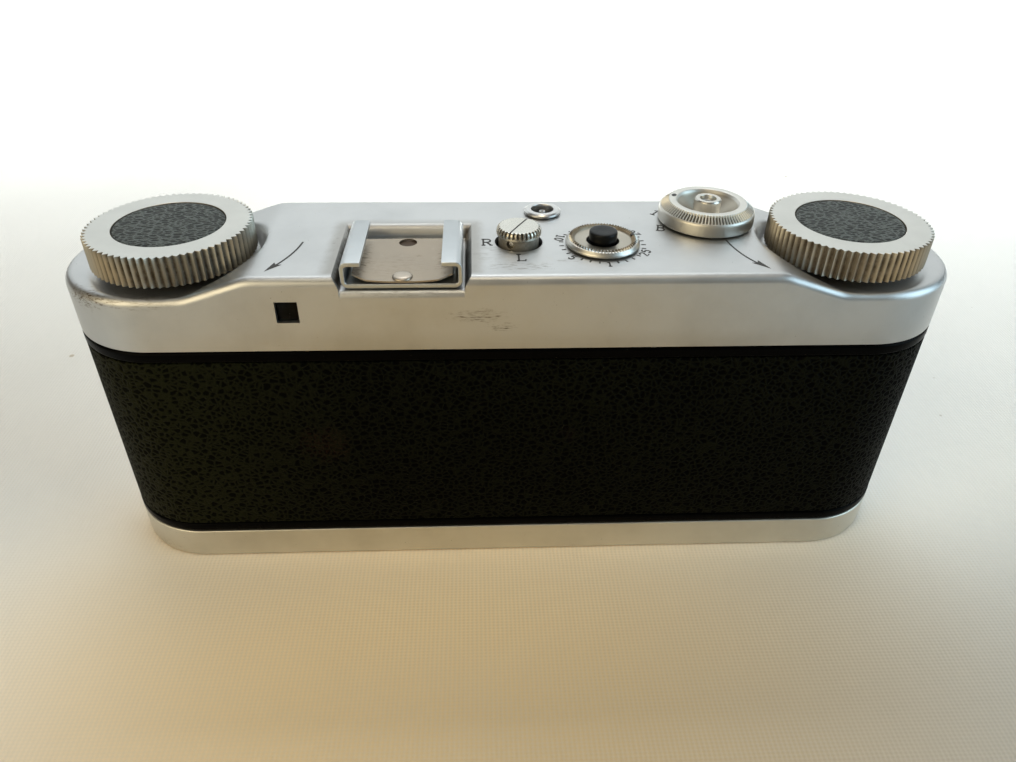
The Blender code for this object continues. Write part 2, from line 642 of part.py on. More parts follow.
# ---------------------------------------------------------------- shoe
x0, lip, s = SHOE_HALF, SHOE_LIP_HALF, SHOE_SHEET
zb, zt = SHOE_Z
c_section = [(-x0, zb), (x0, zb), (x0, zt), (lip, zt), (lip, zt - s),
             (x0 - s, zt - s), (x0 - s, zb + s), (-x0 + s, zb + s),
             (-x0 + s, zt - s), (-lip, zt - s), (-lip, zt), (-x0, zt)]
shoe = prism("accessory_shoe", [(x, z - zb) for x, z in c_section], SHOE_Y[0],
             SHOE_Y[1], mat=CHROME)
shoe.rotation_euler = (math.radians(90), 0, 0)
shoe.location = (SHOE_X * MM, (SHOE_Y[0] + SHOE_Y[1]) / 2 * MM, zb * MM)
shoe_spring = leaf("shoe_spring", 8.2, 8.3, -0.55, 0.3, 9, STEEL)
shoe_spring.rotation_euler = (math.radians(90), 0, 0)
shoe_spring.location = (SHOE_X * MM, 7.4 * MM, 63.85 * MM)
boolean(shoe_spring, cylinder("cut_spring_hole", 1.5, 60, 67,
                              (SHOE_X, 0.95), 20, cutter=True))
turned("shoe_rivet", [(0, 63.95), (1.0, 63.9), (1.6, 63.65), (1.6, 63.6),
                      (0, 63.6)], (SHOE_X, 13.6), 20, STEEL)

# ---------------------------------------------------------------- finder
square_funnel("finder_tube", (WINDOW_X[0] + WINDOW_X[1]) / 2,
              (EYE_Z[0] + EYE_Z[1]) / 2, -15.1, 15.3, (4.6, 2.7), (1.9, 1.9),
              0.5, BLACKED)
box("finder_eye_glass", (EYE_X[0] + GAP, 15.7, EYE_Z[0] + GAP),
    (EYE_X[1] - GAP, 16.4, EYE_Z[1] - GAP), GLASS)
bezel = box("finder_bezel", (WINDOW_X[0] + GAP, -17.4, WINDOW_Z[0] + GAP),
            (WINDOW_X[1] - GAP, -15.6, WINDOW_Z[1] - GAP), BRIGHT)
boolean(bezel, box("cut_bezel", (WINDOW_X[0] + 1.1, -20, WINDOW_Z[0] + 1.1),
                   (WINDOW_X[1] - 1.1, -10, WINDOW_Z[1] - 1.1), cutter=True))
box("finder_front_glass", (WINDOW_X[0] + 1.4, -16.9, WINDOW_Z[0] + 1.4),
    (WINDOW_X[1] - 1.4, -16.1, WINDOW_Z[1] - 1.4), GLASS)

bpy.context.view_layer.update()
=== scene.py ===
import json
import math
import random

import bmesh
import bpy
import numpy as np
from mathutils import Matrix, Vector


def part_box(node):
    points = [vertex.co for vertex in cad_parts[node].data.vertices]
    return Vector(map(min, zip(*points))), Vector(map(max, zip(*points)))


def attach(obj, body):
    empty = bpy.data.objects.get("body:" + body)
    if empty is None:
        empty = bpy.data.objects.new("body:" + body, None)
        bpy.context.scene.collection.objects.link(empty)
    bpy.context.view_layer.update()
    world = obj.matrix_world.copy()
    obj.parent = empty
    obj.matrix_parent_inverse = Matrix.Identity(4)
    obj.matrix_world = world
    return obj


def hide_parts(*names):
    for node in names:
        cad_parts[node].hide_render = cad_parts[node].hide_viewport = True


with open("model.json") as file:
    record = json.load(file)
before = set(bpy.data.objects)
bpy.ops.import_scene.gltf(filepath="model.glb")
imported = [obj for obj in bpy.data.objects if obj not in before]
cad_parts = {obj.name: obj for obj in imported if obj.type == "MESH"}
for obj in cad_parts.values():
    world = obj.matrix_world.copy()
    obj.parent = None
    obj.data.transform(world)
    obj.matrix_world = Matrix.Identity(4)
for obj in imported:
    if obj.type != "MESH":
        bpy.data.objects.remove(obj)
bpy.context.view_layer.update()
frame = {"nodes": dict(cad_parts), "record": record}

NODES = frame["nodes"]
BODY_OF = {n: b for b, l in frame["record"]["behaviour"]["bodies"].items() for n in l}


def mid(node):
    """Middle of a CAD node's box, in mm."""
    lo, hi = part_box(node)
    return tuple((a + b) * 500 for a, b in zip(lo, hi))


def span(node):
    lo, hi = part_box(node)
    return tuple(a * 1000 for a in lo), tuple(b * 1000 for b in hi)


# ------------------------------------------------------------------ sizes, mm
(BX0, BY0, BZ0), (BX1, BY1, BZ1) = span("body_shell")
R = (BY1 - BY0) / 2                      # radius of the body's round ends
END = (BX1 - BX0) / 2 - R                # where the round ends start
COVER_LO, COVER_HI = span("top_cover")
PLATE = COVER_HI[2]
LEDGE = PLATE - 3.54
BASE_H = span("bottom_cover")[1][2]
KX, KY = mid("rewind_knob")[:2]
KNOB_LO, KNOB_HI = span("rewind_knob")
DIAL = mid("speed_dial")[:2]
COUNT = mid("counter_ring")[:2]
SEL = mid("selector_knob")[:2]
SYNC = mid("sync_collar")[:2]
SHOE_LO, SHOE_HI = span("accessory_shoe")
LX = mid("lens_barrel_left")[0]
LZ = mid("lens_barrel_left")[2]
SEL_ANGLE = 61.6


# ------------------------------------------------------------------ shaders
class Shader:
    """A node-based material; every call adds one node."""

    def __init__(self, name):
        self.mat = bpy.data.materials.new(name)
        self.mat.use_nodes = True
        self.t = self.mat.node_tree
        self.t.nodes.clear()
        self.out = self.t.nodes.new("ShaderNodeOutputMaterial")
        self.b = self.t.nodes.new("ShaderNodeBsdfPrincipled")
        self.t.links.new(self.b.outputs[0], self.out.inputs[0])
        tc = self.t.nodes.new("ShaderNodeTexCoord")
        m = self.t.nodes.new("ShaderNodeMapping")
        m.inputs["Scale"].default_value = (1000, 1000, 1000)
        self.t.links.new(tc.outputs["Object"], m.inputs["Vector"])
        self.mm = m.outputs[0]

    def put(self, socket, value):
        if isinstance(value, bpy.types.NodeSocket):
            self.t.links.new(value, socket)
        elif value is not None:
            if hasattr(socket.default_value, "__len__") and len(socket.default_value) == 4 and len(value) == 3:
                value = (*value, 1.0)
            socket.default_value = value

    def set(self, **kw):
        for k, v in kw.items():
            self.put(self.b.inputs[k.replace("_", " ")], v)
        return self

    def node(self, kind, ins=(), **props):
        n = self.t.nodes.new(kind)
        for k, v in props.items():
            setattr(n, k, v)
        for key, v in dict(ins).items():
            self.put(n.inputs[key], v)
        return n

    def noise(self, scale, detail=3, rough=0.5, distort=0.0, vec=None, out=0):
        n = self.node("ShaderNodeTexNoise", {"Vector": vec or self.mm, "Scale": scale, "Detail": detail,
                                             "Roughness": rough, "Distortion": distort})
        return n.outputs[out]

    def voronoi(self, scale, feature="F1", vec=None, random_=1.0, out=0, **props):
        n = self.node("ShaderNodeTexVoronoi", {"Vector": vec or self.mm, "Scale": scale, "Randomness": random_},
                      feature=feature, **props)
        return n.outputs[out]

    def scaled(self, sx, sy, sz, rot=(0, 0, 0), vec=None):
        n = self.node("ShaderNodeMapping", {"Vector": vec or self.mm, "Scale": (sx, sy, sz), "Rotation": rot})
        return n.outputs[0]

    def ramp(self, fac, stops, interp="LINEAR"):
        n = self.node("ShaderNodeValToRGB", {"Fac": fac})
        r = n.color_ramp
        r.interpolation = interp
        while len(r.elements) < len(stops):
            r.elements.new(0.5)
        for e, (p, c) in zip(r.elements, stops):
            e.position = p
            c = (c, c, c) if not hasattr(c, "__len__") else c
            e.color = (*c, 1.0)
        return n.outputs[0]

    def math(self, op, a, b=None, c=None, clamp=False):
        n = self.node("ShaderNodeMath", operation=op, use_clamp=clamp)
        for i, v in enumerate((a, b, c)):
            if v is not None:
                self.put(n.inputs[i], v)
        return n.outputs[0]

    def mix(self, fac, a, b, mode="MIX"):
        n = self.node("ShaderNodeMix", data_type="RGBA", blend_type=mode)
        self.put(n.inputs[0], fac)
        self.put(n.inputs[6], a)
        self.put(n.inputs[7], b)
        return n.outputs[2]

    def step(self, value, lo, hi, to=(0.0, 1.0), smooth=True):
        n = self.node("ShaderNodeMapRange", {"Value": value, "From Min": lo, "From Max": hi,
                                             "To Min": to[0], "To Max": to[1]},
                      interpolation_type="SMOOTHSTEP" if smooth else "LINEAR")
        return n.outputs[0]

    def xyz(self, vec=None):
        n = self.node("ShaderNodeSeparateXYZ", {"Vector": vec or self.mm})
        return n.outputs

    def dist(self, at, stretch=(1, 1, 1)):
        """Distance in mm from a point, with the axes stretched."""
        n = self.node("ShaderNodeVectorMath", {0: self.mm, 1: at}, operation="SUBTRACT")
        m = self.node("ShaderNodeVectorMath", {0: n.outputs[0], 1: stretch}, operation="MULTIPLY")
        d = self.node("ShaderNodeVectorMath", {0: m.outputs[0]}, operation="LENGTH")
        return d.outputs["Value"]

    def bump(self, height, dist_mm, strength=1.0, normal=None):
        n = self.node("ShaderNodeBump", {"Height": height, "Distance": dist_mm * 0.001, "Strength": strength})
        if normal is not None:
            self.put(n.inputs["Normal"], normal)
        return n.outputs[0]

    def bevel(self, mm_radius, samples=4):
        n = self.node("ShaderNodeBevel", {"Radius": mm_radius * 0.001}, samples=samples)
        return n.outputs[0]


def add(s, *terms):
    v = terms[0]
    for t in terms[1:]:
        v = s.math("ADD", v, t)
    return v


def chrome(name, tint=(0.80, 0.80, 0.79), rough=0.36, grain=0.006, dirt=0.25, bevel=0.12, dirt_and_shade_spots=(), extra=None, stain=None):
    """Satin chrome: fine blasted grain, faint tarnish, specks and small scratches."""
    s = Shader(name)
    cloud = s.noise(0.09, 4, 0.6)
    fine = s.noise(9.0, 4, 0.65)
    base = s.ramp(cloud, [(0.30, tuple(c * 0.90 for c in tint)), (0.55, tint), (0.8, tuple(min(1, c * 1.04) for c in tint))])
    tarnish = s.step(s.noise(0.35, 6, 0.7, 0.6), 0.56, 0.78)
    base = s.mix(s.math("MULTIPLY", tarnish, 0.45 * dirt + 0.05), base, (0.50, 0.44, 0.36))
    specks = s.math("MULTIPLY", s.step(s.voronoi(0.55), 0.05, 0.025), s.step(s.noise(0.6, 2), 0.50, 0.58))
    pits = s.math("MULTIPLY", s.step(s.voronoi(2.2), 0.10, 0.05), s.step(s.noise(0.25, 3), 0.55, 0.68))
    marks = s.math("MAXIMUM", specks, pits)
    # Each listed spot darkens the surface toward dark brown: some spots are dirt, some paint the shade under or inside
    # a part.
    for at, size, depth in dirt_and_shade_spots:
        d = s.dist(at, tuple(1.0 / q for q in size))
        wob = s.math("MULTIPLY", s.math("SUBTRACT", s.noise(0.9, 5, 0.75), 0.5), 1.6)
        m = s.step(s.math("ADD", d, wob), 1.0, 0.30)
        m = s.math("MULTIPLY", m, s.step(s.noise(1.5, 4, 0.62, 0.0, s.scaled(0.42, 1.6, 2.4, (0, 0.25, 0.2))), 0.44, 0.74))
        base = s.mix(s.math("MULTIPLY", m, depth), base, (0.13, 0.09, 0.05))
        marks = s.math("MAXIMUM", marks, s.math("MULTIPLY", m, depth * 0.5))
    # stain may add painted shade as well as dirt, as it does round the shoe's pocket on the cover.
    if stain:
        base = stain(s, base)
    scr = s.noise(1.0, 2, 0.4, 0.0, s.scaled(0.10, 5.0, 2.0, (0, 0, 0.5)))
    scr = s.math("MULTIPLY", s.step(scr, 0.70, 0.74), s.step(s.noise(0.3, 2), 0.5, 0.6))
    base = s.mix(s.math("MULTIPLY", marks, 0.75), base, (0.10, 0.075, 0.05))
    s.set(Base_Color=base, Metallic=1.0,
          Roughness=add(s, s.step(cloud, 0.3, 0.7, (rough - 0.03, rough + 0.05)),
                        s.math("MULTIPLY", s.math("SUBTRACT", fine, 0.5), 0.12),
                        s.math("MULTIPLY", marks, 0.3), s.math("MULTIPLY", scr, -0.08)))
    normal = s.bevel(bevel) if bevel else None
    h = add(s, s.math("MULTIPLY", fine, 1.0), s.math("MULTIPLY", scr, -0.7), s.math("MULTIPLY", marks, -1.2))
    s.set(Normal=s.bump(h, grain, 1.0, normal))
    if extra:
        extra(s)
    return s.mat


def toothed_chrome(name, at, r_root, r_tip, dirt=(0.17, 0.12, 0.07), amount=0.85, tint=(0.74, 0.73, 0.70), rough=0.34,
                   zband=None, inner=None, slots=None, side=0.0):
    """Chrome whose grooves, nearer the axis than the ridges, hold brown dirt."""
    s = Shader(name)
    cloud = s.noise(0.15, 4, 0.6)
    base = s.ramp(cloud, [(0.3, tuple(c * 0.9 for c in tint)), (0.7, tint)])
    x, y, z = s.xyz()[:3]
    dx, dy = s.math("SUBTRACT", x, at[0]), s.math("SUBTRACT", y, at[1])
    rad = s.math("SQRT", s.math("ADD", s.math("MULTIPLY", dx, dx), s.math("MULTIPLY", dy, dy)))
    groove = s.step(rad, r_tip - 0.08, r_root)
    if zband:
        groove = s.math("MULTIPLY", groove, s.step(z, zband[1], zband[1] - 0.12))
    patch = s.step(s.noise(0.45, 5, 0.7), 0.30, 0.62)
    groove = s.math("MULTIPLY", groove, s.math("ADD", s.math("MULTIPLY", patch, 0.45), 0.55))
    if side:
        wallm = s.math("MULTIPLY", s.step(z, zband[1] + 0.01, zband[1] - 0.04), side)
        base = s.mix(wallm, base, (0.34, 0.285, 0.20))
    if inner:
        groove = s.math("MULTIPLY", groove, s.step(rad, inner - 0.12, inner))
        worn = s.math("MULTIPLY", s.step(rad, inner, inner + 0.25), s.step(s.noise(0.5, 4, 0.6), 0.35, 0.6, (0.35, 0.75)))
        base = s.mix(s.math("MULTIPLY", worn, 0.8 if slots is None and inner > 5 else 0.0), base, (0.33, 0.27, 0.185))
    base = s.mix(s.math("MULTIPLY", groove, amount), base, dirt)
    if slots:
        turns = s.math("FRACT", s.math("MULTIPLY", s.math("ADD", s.math("DIVIDE", s.math("ARCTAN2", dy, dx), math.tau), 1.0), float(slots[0])))
        near = s.math("ABSOLUTE", s.math("SUBTRACT", turns, 0.5))
        sl = s.math("MULTIPLY", s.step(near, 0.26, 0.16), s.math("MULTIPLY", s.step(rad, slots[1], slots[1] + 0.1), s.step(rad, slots[2] + 0.04, slots[2] - 0.04)))
        base = s.mix(s.math("MULTIPLY", s.step(rad, 5.66, 5.45), 0.55), base, (0.30, 0.245, 0.16))
        base = s.mix(s.math("MULTIPLY", sl, 0.80), base, (0.055, 0.043, 0.028))
    fine = s.noise(10.0, 4, 0.6)
    s.set(Base_Color=base, Metallic=s.step(groove, 0.0, 1.0, (1.0, 0.35)),
          Roughness=add(s, rough, s.math("MULTIPLY", groove, 0.32), s.math("MULTIPLY", s.math("SUBTRACT", fine, 0.5), 0.1)))
    s.set(Normal=s.bump(fine, 0.006, 1.0, s.bevel(0.05)))
    return s.mat


def leather(name, scale=1.0, wear=(), lo=(0.0003, 0.0003, 0.0002), hi=(0.0034, 0.0038, 0.0018), spec=0.025, rough=0.52, squash=1.0):
    """Black leathercloth: round dark pits in a fine, slightly lighter net."""
    s = Shader(name)
    warp = s.noise(0.7 * scale, 3, 0.6, out=1)
    warp = s.node("ShaderNodeVectorMath", {0: warp, "Scale": 0.55}, operation="SCALE").outputs[0]
    vec = s.node("ShaderNodeVectorMath", {0: s.mm, 1: warp}, operation="ADD").outputs[0]
    vec = s.scaled(squash, 1.0, 1.15, vec=vec)
    edge = s.voronoi(0.82 * scale, "DISTANCE_TO_EDGE", vec)
    wav = s.math("MULTIPLY", s.math("SUBTRACT", s.noise(1.6 * scale, 2), 0.5), 0.16)
    dark = s.step(s.math("ADD", edge, wav), 0.09, 0.24)
    net = s.step(edge, 0.085, 0.02)
    cloud = s.noise(0.05, 4, 0.6)
    top = s.ramp(cloud, [(0.3, tuple(c * 0.55 for c in hi)), (0.7, hi)])
    base = s.mix(dark, top, lo)
    base = s.mix(s.math("MULTIPLY", net, 0.55), base, tuple(min(c * 2.1, 1.0) for c in hi))
    if wear:
        # Painted light: the +X end of the leathercloth is drawn lighter and greener where the light falls on it. This
        # is drawn whenever wear spots are given.
        lit = s.math("MULTIPLY", s.step(s.xyz()[0], 22.0, 82.0), s.math("SUBTRACT", 1.0, s.math("MULTIPLY", dark, 0.8)))
        base = s.mix(s.math("MULTIPLY", lit, 0.75), base, (0.016, 0.017, 0.006))
    for at, size, colour, depth in wear:
        q = s.dist(at, tuple(1.0 / w for w in size))
        wob = s.math("MULTIPLY", s.math("SUBTRACT", s.noise(0.8, 5, 0.75), 0.5), 1.8)
        m = s.math("MULTIPLY", s.step(s.math("ADD", q, wob), 1.0, 0.3), s.step(s.noise(2.2, 4, 0.7), 0.42, 0.6))
        base = s.mix(s.math("MULTIPLY", m, depth), base, colour)
    fine = s.noise(7.0, 4, 0.6)
    h = add(s, s.math("MULTIPLY", dark, -1.0), s.math("MULTIPLY", net, 0.35), s.math("MULTIPLY", fine, 0.12))
    s.set(Base_Color=base, Metallic=0.0, Specular_IOR_Level=spec,
          Roughness=add(s, rough, s.math("MULTIPLY", dark, 0.2), s.math("MULTIPLY", s.math("SUBTRACT", fine, 0.5), 0.12)))
    s.set(Normal=s.bump(h, 0.14, 1.0))
    return s.mat


def enamel(name, colour=(0.0005, 0.0005, 0.0005), rough=0.26, coat=0.0, spec=0.03):
    s = Shader(name)
    cloud = s.noise(0.5, 4, 0.6)
    chips = s.math("MULTIPLY", s.step(s.voronoi(0.8), 0.07, 0.03), s.step(s.noise(0.5, 3), 0.55, 0.62))
    base = s.mix(chips, s.ramp(cloud, [(0.3, colour), (0.7, tuple(c * 1.6 for c in colour))]), (0.10, 0.09, 0.08))
    s.set(Base_Color=base, Metallic=0.0, Coat_Weight=coat, Coat_Roughness=0.12, Specular_IOR_Level=spec,
          Roughness=add(s, s.step(cloud, 0.3, 0.7, (rough, rough + 0.12)), s.math("MULTIPLY", chips, 0.4)))
    s.set(Normal=s.bump(add(s, s.noise(1.6, 3), s.math("MULTIPLY", chips, -0.8)), 0.02, 1.0, s.bevel(0.12)))
    return s.mat


def blackened(name, colour=(0.018, 0.017, 0.016)):
    s = Shader(name)
    n = s.noise(3.0, 5, 0.65)
    base = s.ramp(n, [(0.3, tuple(c * 0.6 for c in colour)), (0.7, tuple(c * 1.7 for c in colour))])
    rub = s.math("MULTIPLY", s.step(s.noise(0.5, 5, 0.7), 0.60, 0.75), 0.5)
    base = s.mix(rub, base, (0.16, 0.14, 0.11))
    s.set(Base_Color=base, Metallic=0.4, Roughness=s.step(n, 0.3, 0.7, (0.45, 0.65)))
    s.set(Normal=s.bump(n, 0.015, 1.0, s.bevel(0.08)))
    return s.mat


def turned_metal(name, tint, rough=0.28, at=(0, 0, 0), along="Z", rings=3.0):
    """Lathe-turned metal with fine concentric tool marks about an axis."""
    s = Shader(name)
    x, y, z = s.xyz()[:3]
    a, b = {"Z": ((x, at[0]), (y, at[1])), "Y": ((x, at[0]), (z, at[2]))}[along]
    da, db = s.math("SUBTRACT", *a), s.math("SUBTRACT", *b)
    rad = s.math("SQRT", s.math("ADD", s.math("MULTIPLY", da, da), s.math("MULTIPLY", db, db)))
    axial = z if along == "Z" else y
    key = s.node("ShaderNodeCombineXYZ", {"X": rad, "Y": s.math("MULTIPLY", axial, 1.0), "Z": 0.0}).outputs[0]
    lines = s.noise(rings, 4, 0.7, 0.0, key)
    cloud = s.noise(0.4, 4, 0.6)
    stain = s.step(s.noise(0.8, 5, 0.7), 0.55, 0.78)
    base = s.ramp(cloud, [(0.3, tuple(c * 0.86 for c in tint)), (0.7, tint)])
    base = s.mix(s.math("MULTIPLY", stain, 0.35), base, tuple(c * 0.45 for c in tint))
    s.set(Base_Color=base, Metallic=1.0, Roughness=add(s, rough, s.math("MULTIPLY", s.math("SUBTRACT", lines, 0.5), 0.16),
                                                       s.math("MULTIPLY", stain, 0.18)))
    s.set(Normal=s.bump(lines, 0.008, 1.0, s.bevel(0.06)))
    return s.mat


def ink(name, colour=(0.012, 0.011, 0.010)):
    """Black filler in an engraved mark."""
    s = Shader(name)
    n = s.noise(8.0, 4, 0.7)
    s.set(Base_Color=s.ramp(n, [(0.35, colour), (0.75, tuple(c * 4 + 0.01 for c in colour))]),
          Roughness=s.step(n, 0.3, 0.7, (0.5, 0.7)), Metallic=0.0)
    s.set(Normal=s.bump(n, 0.01))
    return s.mat


def glass(name, tint=(0.93, 0.95, 1.0), coat=(0.55, 0.62, 1.0), ior=1.55, weight=0.3):
    s = Shader(name)
    dust = s.math("MULTIPLY", s.step(s.voronoi(1.4), 0.08, 0.03), s.step(s.noise(0.5, 3), 0.5, 0.6))
    s.set(Base_Color=s.mix(dust, tint, (0.6, 0.6, 0.6)), Transmission_Weight=1.0, IOR=ior, Metallic=0.0,
          Roughness=s.step(dust, 0.0, 1.0, (0.015, 0.35)), Coat_Weight=weight, Coat_Tint=coat, Coat_Roughness=0.02)
    s.set(Normal=s.bump(s.noise(0.3, 2), 0.002))
    return s.mat


# ------------------------------------------------------------------ geometry
def finish_bm(name, bm, mat, body, node=None, smooth=True, sharp=38):
    """A piece from a bmesh in mm; it rides on its body and may replace a node."""
    bmesh.ops.recalc_face_normals(bm, faces=bm.faces)
    bmesh.ops.scale(bm, vec=(0.001,) * 3, verts=bm.verts)
    me = bpy.data.meshes.new(name)
    bm.to_mesh(me)
    bm.free()
    if smooth:
        me.shade_smooth()
        me.set_sharp_from_angle(angle=math.radians(sharp))
    ob = bpy.data.objects.new(name, me)
    bpy.context.scene.collection.objects.link(ob)
    if mat:
        me.materials.append(mat)
    if body:
        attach(ob, body)
        if node:
            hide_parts(node)
    return ob


def fillet(pts, r, n=5, closed=False):
    """Polyline corners rounded to radius r; r may be one number or one a point."""
    out = []
    k = len(pts)
    rs = r if hasattr(r, "__len__") else [r] * k
    for i, p in enumerate(pts):
        if not closed and i in (0, k - 1) or rs[i] <= 0:
            out.append(tuple(p))
            continue
        a, b = np.array(pts[i - 1], float), np.array(pts[(i + 1) % k], float)
        p = np.array(p, float)
        u, v = a - p, b - p
        lu, lv = np.linalg.norm(u), np.linalg.norm(v)
        u, v = u / lu, v / lv
        ang = math.acos(max(-1, min(1, float(u @ v))))
        if ang > math.radians(176):
            out.append(tuple(p))
            continue
        t = min(rs[i] / math.tan(ang / 2), 0.48 * lu, 0.48 * lv)
        rr = t * math.tan(ang / 2)
        c = p + (u + v) / np.linalg.norm(u + v) * (rr / math.sin(ang / 2))
        s0, s1 = p + u * t - c, p + v * t - c
        a0, a1 = math.atan2(s0[1], s0[0]), math.atan2(s1[1], s1[0])
        d = (a1 - a0 + math.pi) % math.tau - math.pi
        for j in range(n + 1):
            q = a0 + d * j / n
            out.append((c[0] + rr * math.cos(q), c[1] + rr * math.sin(q)))
    return out


def lathe_bm(profile, at=(0, 0), seg=128, closed=False, shape=None, axis="Z", bm=None):
    """Revolved (r, h) profile; shape(angle, r, h) may move a point's radius.

    axis "Y" points the height towards -Y, about x = at[0] and z = at[1].
    """
    bm = bm or bmesh.new()
    rings = []
    for r, h in profile:
        ring = []
        if r < 1e-5:
            pos = (at[0], at[1], h) if axis == "Z" else (at[0], -h, at[1])
            ring = [bm.verts.new(pos)] * seg
        else:
            for i in range(seg):
                a = math.tau * i / seg
                q = shape(a, r, h) if shape else r
                c, s = q * math.cos(a), q * math.sin(a)
                ring.append(bm.verts.new((at[0] + c, at[1] + s, h) if axis == "Z" else (at[0] + c, -h, at[1] + s)))
        rings.append(ring)
    pairs = list(zip(rings, rings[1:])) + ([(rings[-1], rings[0])] if closed else [])
    for a, b in pairs:
        for i in range(seg):
            j = (i + 1) % seg
            f = list(dict.fromkeys((a[i], a[j], b[j], b[i])))
            if len(f) > 2:
                bm.faces.new(f)
    return bm


def tri(a, teeth, phase=0.0):
    """Triangle wave, 0 on a ridge and 1 in a groove."""
    t = (a / math.tau * teeth + phase) % 1.0
    return 1 - abs(2 * t - 1)


def stadium(r, n_arc=72, n_side=120, xs=None):
    pts = []
    for i in range(n_arc + 1):
        a = math.radians(-90 + 180 * i / n_arc)
        pts.append((END + r * math.cos(a), r * math.sin(a)))
    side = xs if xs is not None else [END - 2 * END * (i + 1) / n_side for i in range(n_side - 1)]
    for x in side:
        pts.append((x, r))
    for i in range(n_arc + 1):
        a = math.radians(90 + 180 * i / n_arc)
        pts.append((-END + r * math.cos(a), r * math.sin(a)))
    for x in side[::-1]:
        pts.append((x, -r))
    return pts


def ring_loft(levels, n_arc=72, n_side=24, cap=True, bm=None):
    """(radius, z) section carried round the body's plan; flat faces close it."""
    bm = bm or bmesh.new()
    rings = [[bm.verts.new((x, y, z)) for x, y in stadium(r, n_arc, n_side)] for r, z in levels]
    for a, b in zip(rings, rings[1:]):
        for i in range(len(a)):
            j = (i + 1) % len(a)
            bm.faces.new((a[i], a[j], b[j], b[i]))
    if cap:
        bm.faces.new(rings[0])
        bm.faces.new(rings[-1])
    else:
        a, b = rings[-1], rings[0]
        for i in range(len(a)):
            j = (i + 1) % len(a)
            bm.faces.new((a[i], a[j], b[j], b[i]))
    return bm


def prism_bm(outline, z0, z1, edge=0.0, steps=3, bm=None, place=None):
    """Flat outline with rounded rims; place maps (x, y, z) to the frame."""
    bm = bm or bmesh.new()
    pts = np.array(outline, float)
    nxt, prv = np.roll(pts, -1, 0), np.roll(pts, 1, 0)
    area = float(np.sum(pts[:, 0] * nxt[:, 1] - nxt[:, 0] * pts[:, 1]))
    if area < 0:
        pts = pts[::-1]
        nxt, prv = np.roll(pts, -1, 0), np.roll(pts, 1, 0)
    e1, e2 = pts - prv, nxt - pts
    e1 /= np.linalg.norm(e1, axis=1)[:, None]
    e2 /= np.linalg.norm(e2, axis=1)[:, None]
    n = np.stack([e1[:, 1] + e2[:, 1], -(e1[:, 0] + e2[:, 0])], 1)
    n /= np.maximum(np.linalg.norm(n, axis=1), 1e-6)[:, None]
    cosh = np.maximum(np.sqrt((1 + np.sum(e1 * e2, 1)) / 2), 0.5)
    lev = []
    if edge > 0:
        for i in range(steps + 1):
            q = math.pi / 2 * i / steps
            lev.append((edge * (1 - math.sin(q)), z0 + edge * (1 - math.cos(q))))
        lev += [(o, z1 - (z - z0)) for o, z in lev[::-1]]
    else:
        lev = [(0, z0), (0, z1)]
    place = place or (lambda x, y, z: (x, y, z))
    rings = []
    for o, z in lev:
        q = pts - n * (o / cosh)[:, None]
        rings.append([bm.verts.new(place(x, y, z)) for x, y in q])
    for a, b in zip(rings, rings[1:]):
        for i in range(len(a)):
            j = (i + 1) % len(a)
            bm.faces.new((a[i], a[j], b[j], b[i]))
    bm.faces.new(rings[0][::-1])
    bm.faces.new(rings[-1])
    return bm


def box_bm(lo, hi, edge=0.0, bm=None, steps=2):
    cx, cy = (lo[0] + hi[0]) / 2, (lo[1] + hi[1]) / 2
    hx, hy = (hi[0] - lo[0]) / 2, (hi[1] - lo[1]) / 2
    out = fillet([(cx - hx, cy - hy), (cx + hx, cy - hy), (cx + hx, cy + hy), (cx - hx, cy + hy)],
                 max(edge, 0.0), 3, True) if edge else [(cx - hx, cy - hy), (cx + hx, cy - hy), (cx + hx, cy + hy), (cx - hx, cy + hy)]
    return prism_bm(out, lo[2], hi[2], edge * 0.9, steps, bm)


def cut(ob, *cutters, op="DIFFERENCE"):
    """Boolean with closed tool meshes given as bmeshes in mm; applied at once."""
    for c in cutters:
        bmesh.ops.recalc_face_normals(c, faces=c.faces)
        bmesh.ops.scale(c, vec=(0.001,) * 3, verts=c.verts)
        me = bpy.data.meshes.new("tool")
        c.to_mesh(me)
        c.free()
        tool = bpy.data.objects.new("tool", me)
        bpy.context.scene.collection.objects.link(tool)
        m = ob.modifiers.new("b", "BOOLEAN")
        m.operation, m.solver, m.object = op, "MANIFOLD", tool
        before = len(ob.data.vertices)
        bpy.context.view_layer.update()
        new = bpy.data.meshes.new_from_object(ob.evaluated_get(bpy.context.evaluated_depsgraph_get()))
        ob.modifiers.clear()
        if len(new.vertices) == before:
            ob.data = new
            m = ob.modifiers.new("b", "BOOLEAN")
            m.operation, m.solver, m.object = op, "EXACT", tool
            bpy.context.view_layer.update()
            new = bpy.data.meshes.new_from_object(ob.evaluated_get(bpy.context.evaluated_depsgraph_get()))
            ob.modifiers.clear()
            print("exact cut on", ob.name, before, len(new.vertices))
        ob.data = new
        bpy.data.objects.remove(tool, do_unlink=True)
    return ob


def resmooth(ob, sharp=32):
    ob.data.shade_smooth()
    ob.data.set_sharp_from_angle(angle=math.radians(sharp))
    return ob


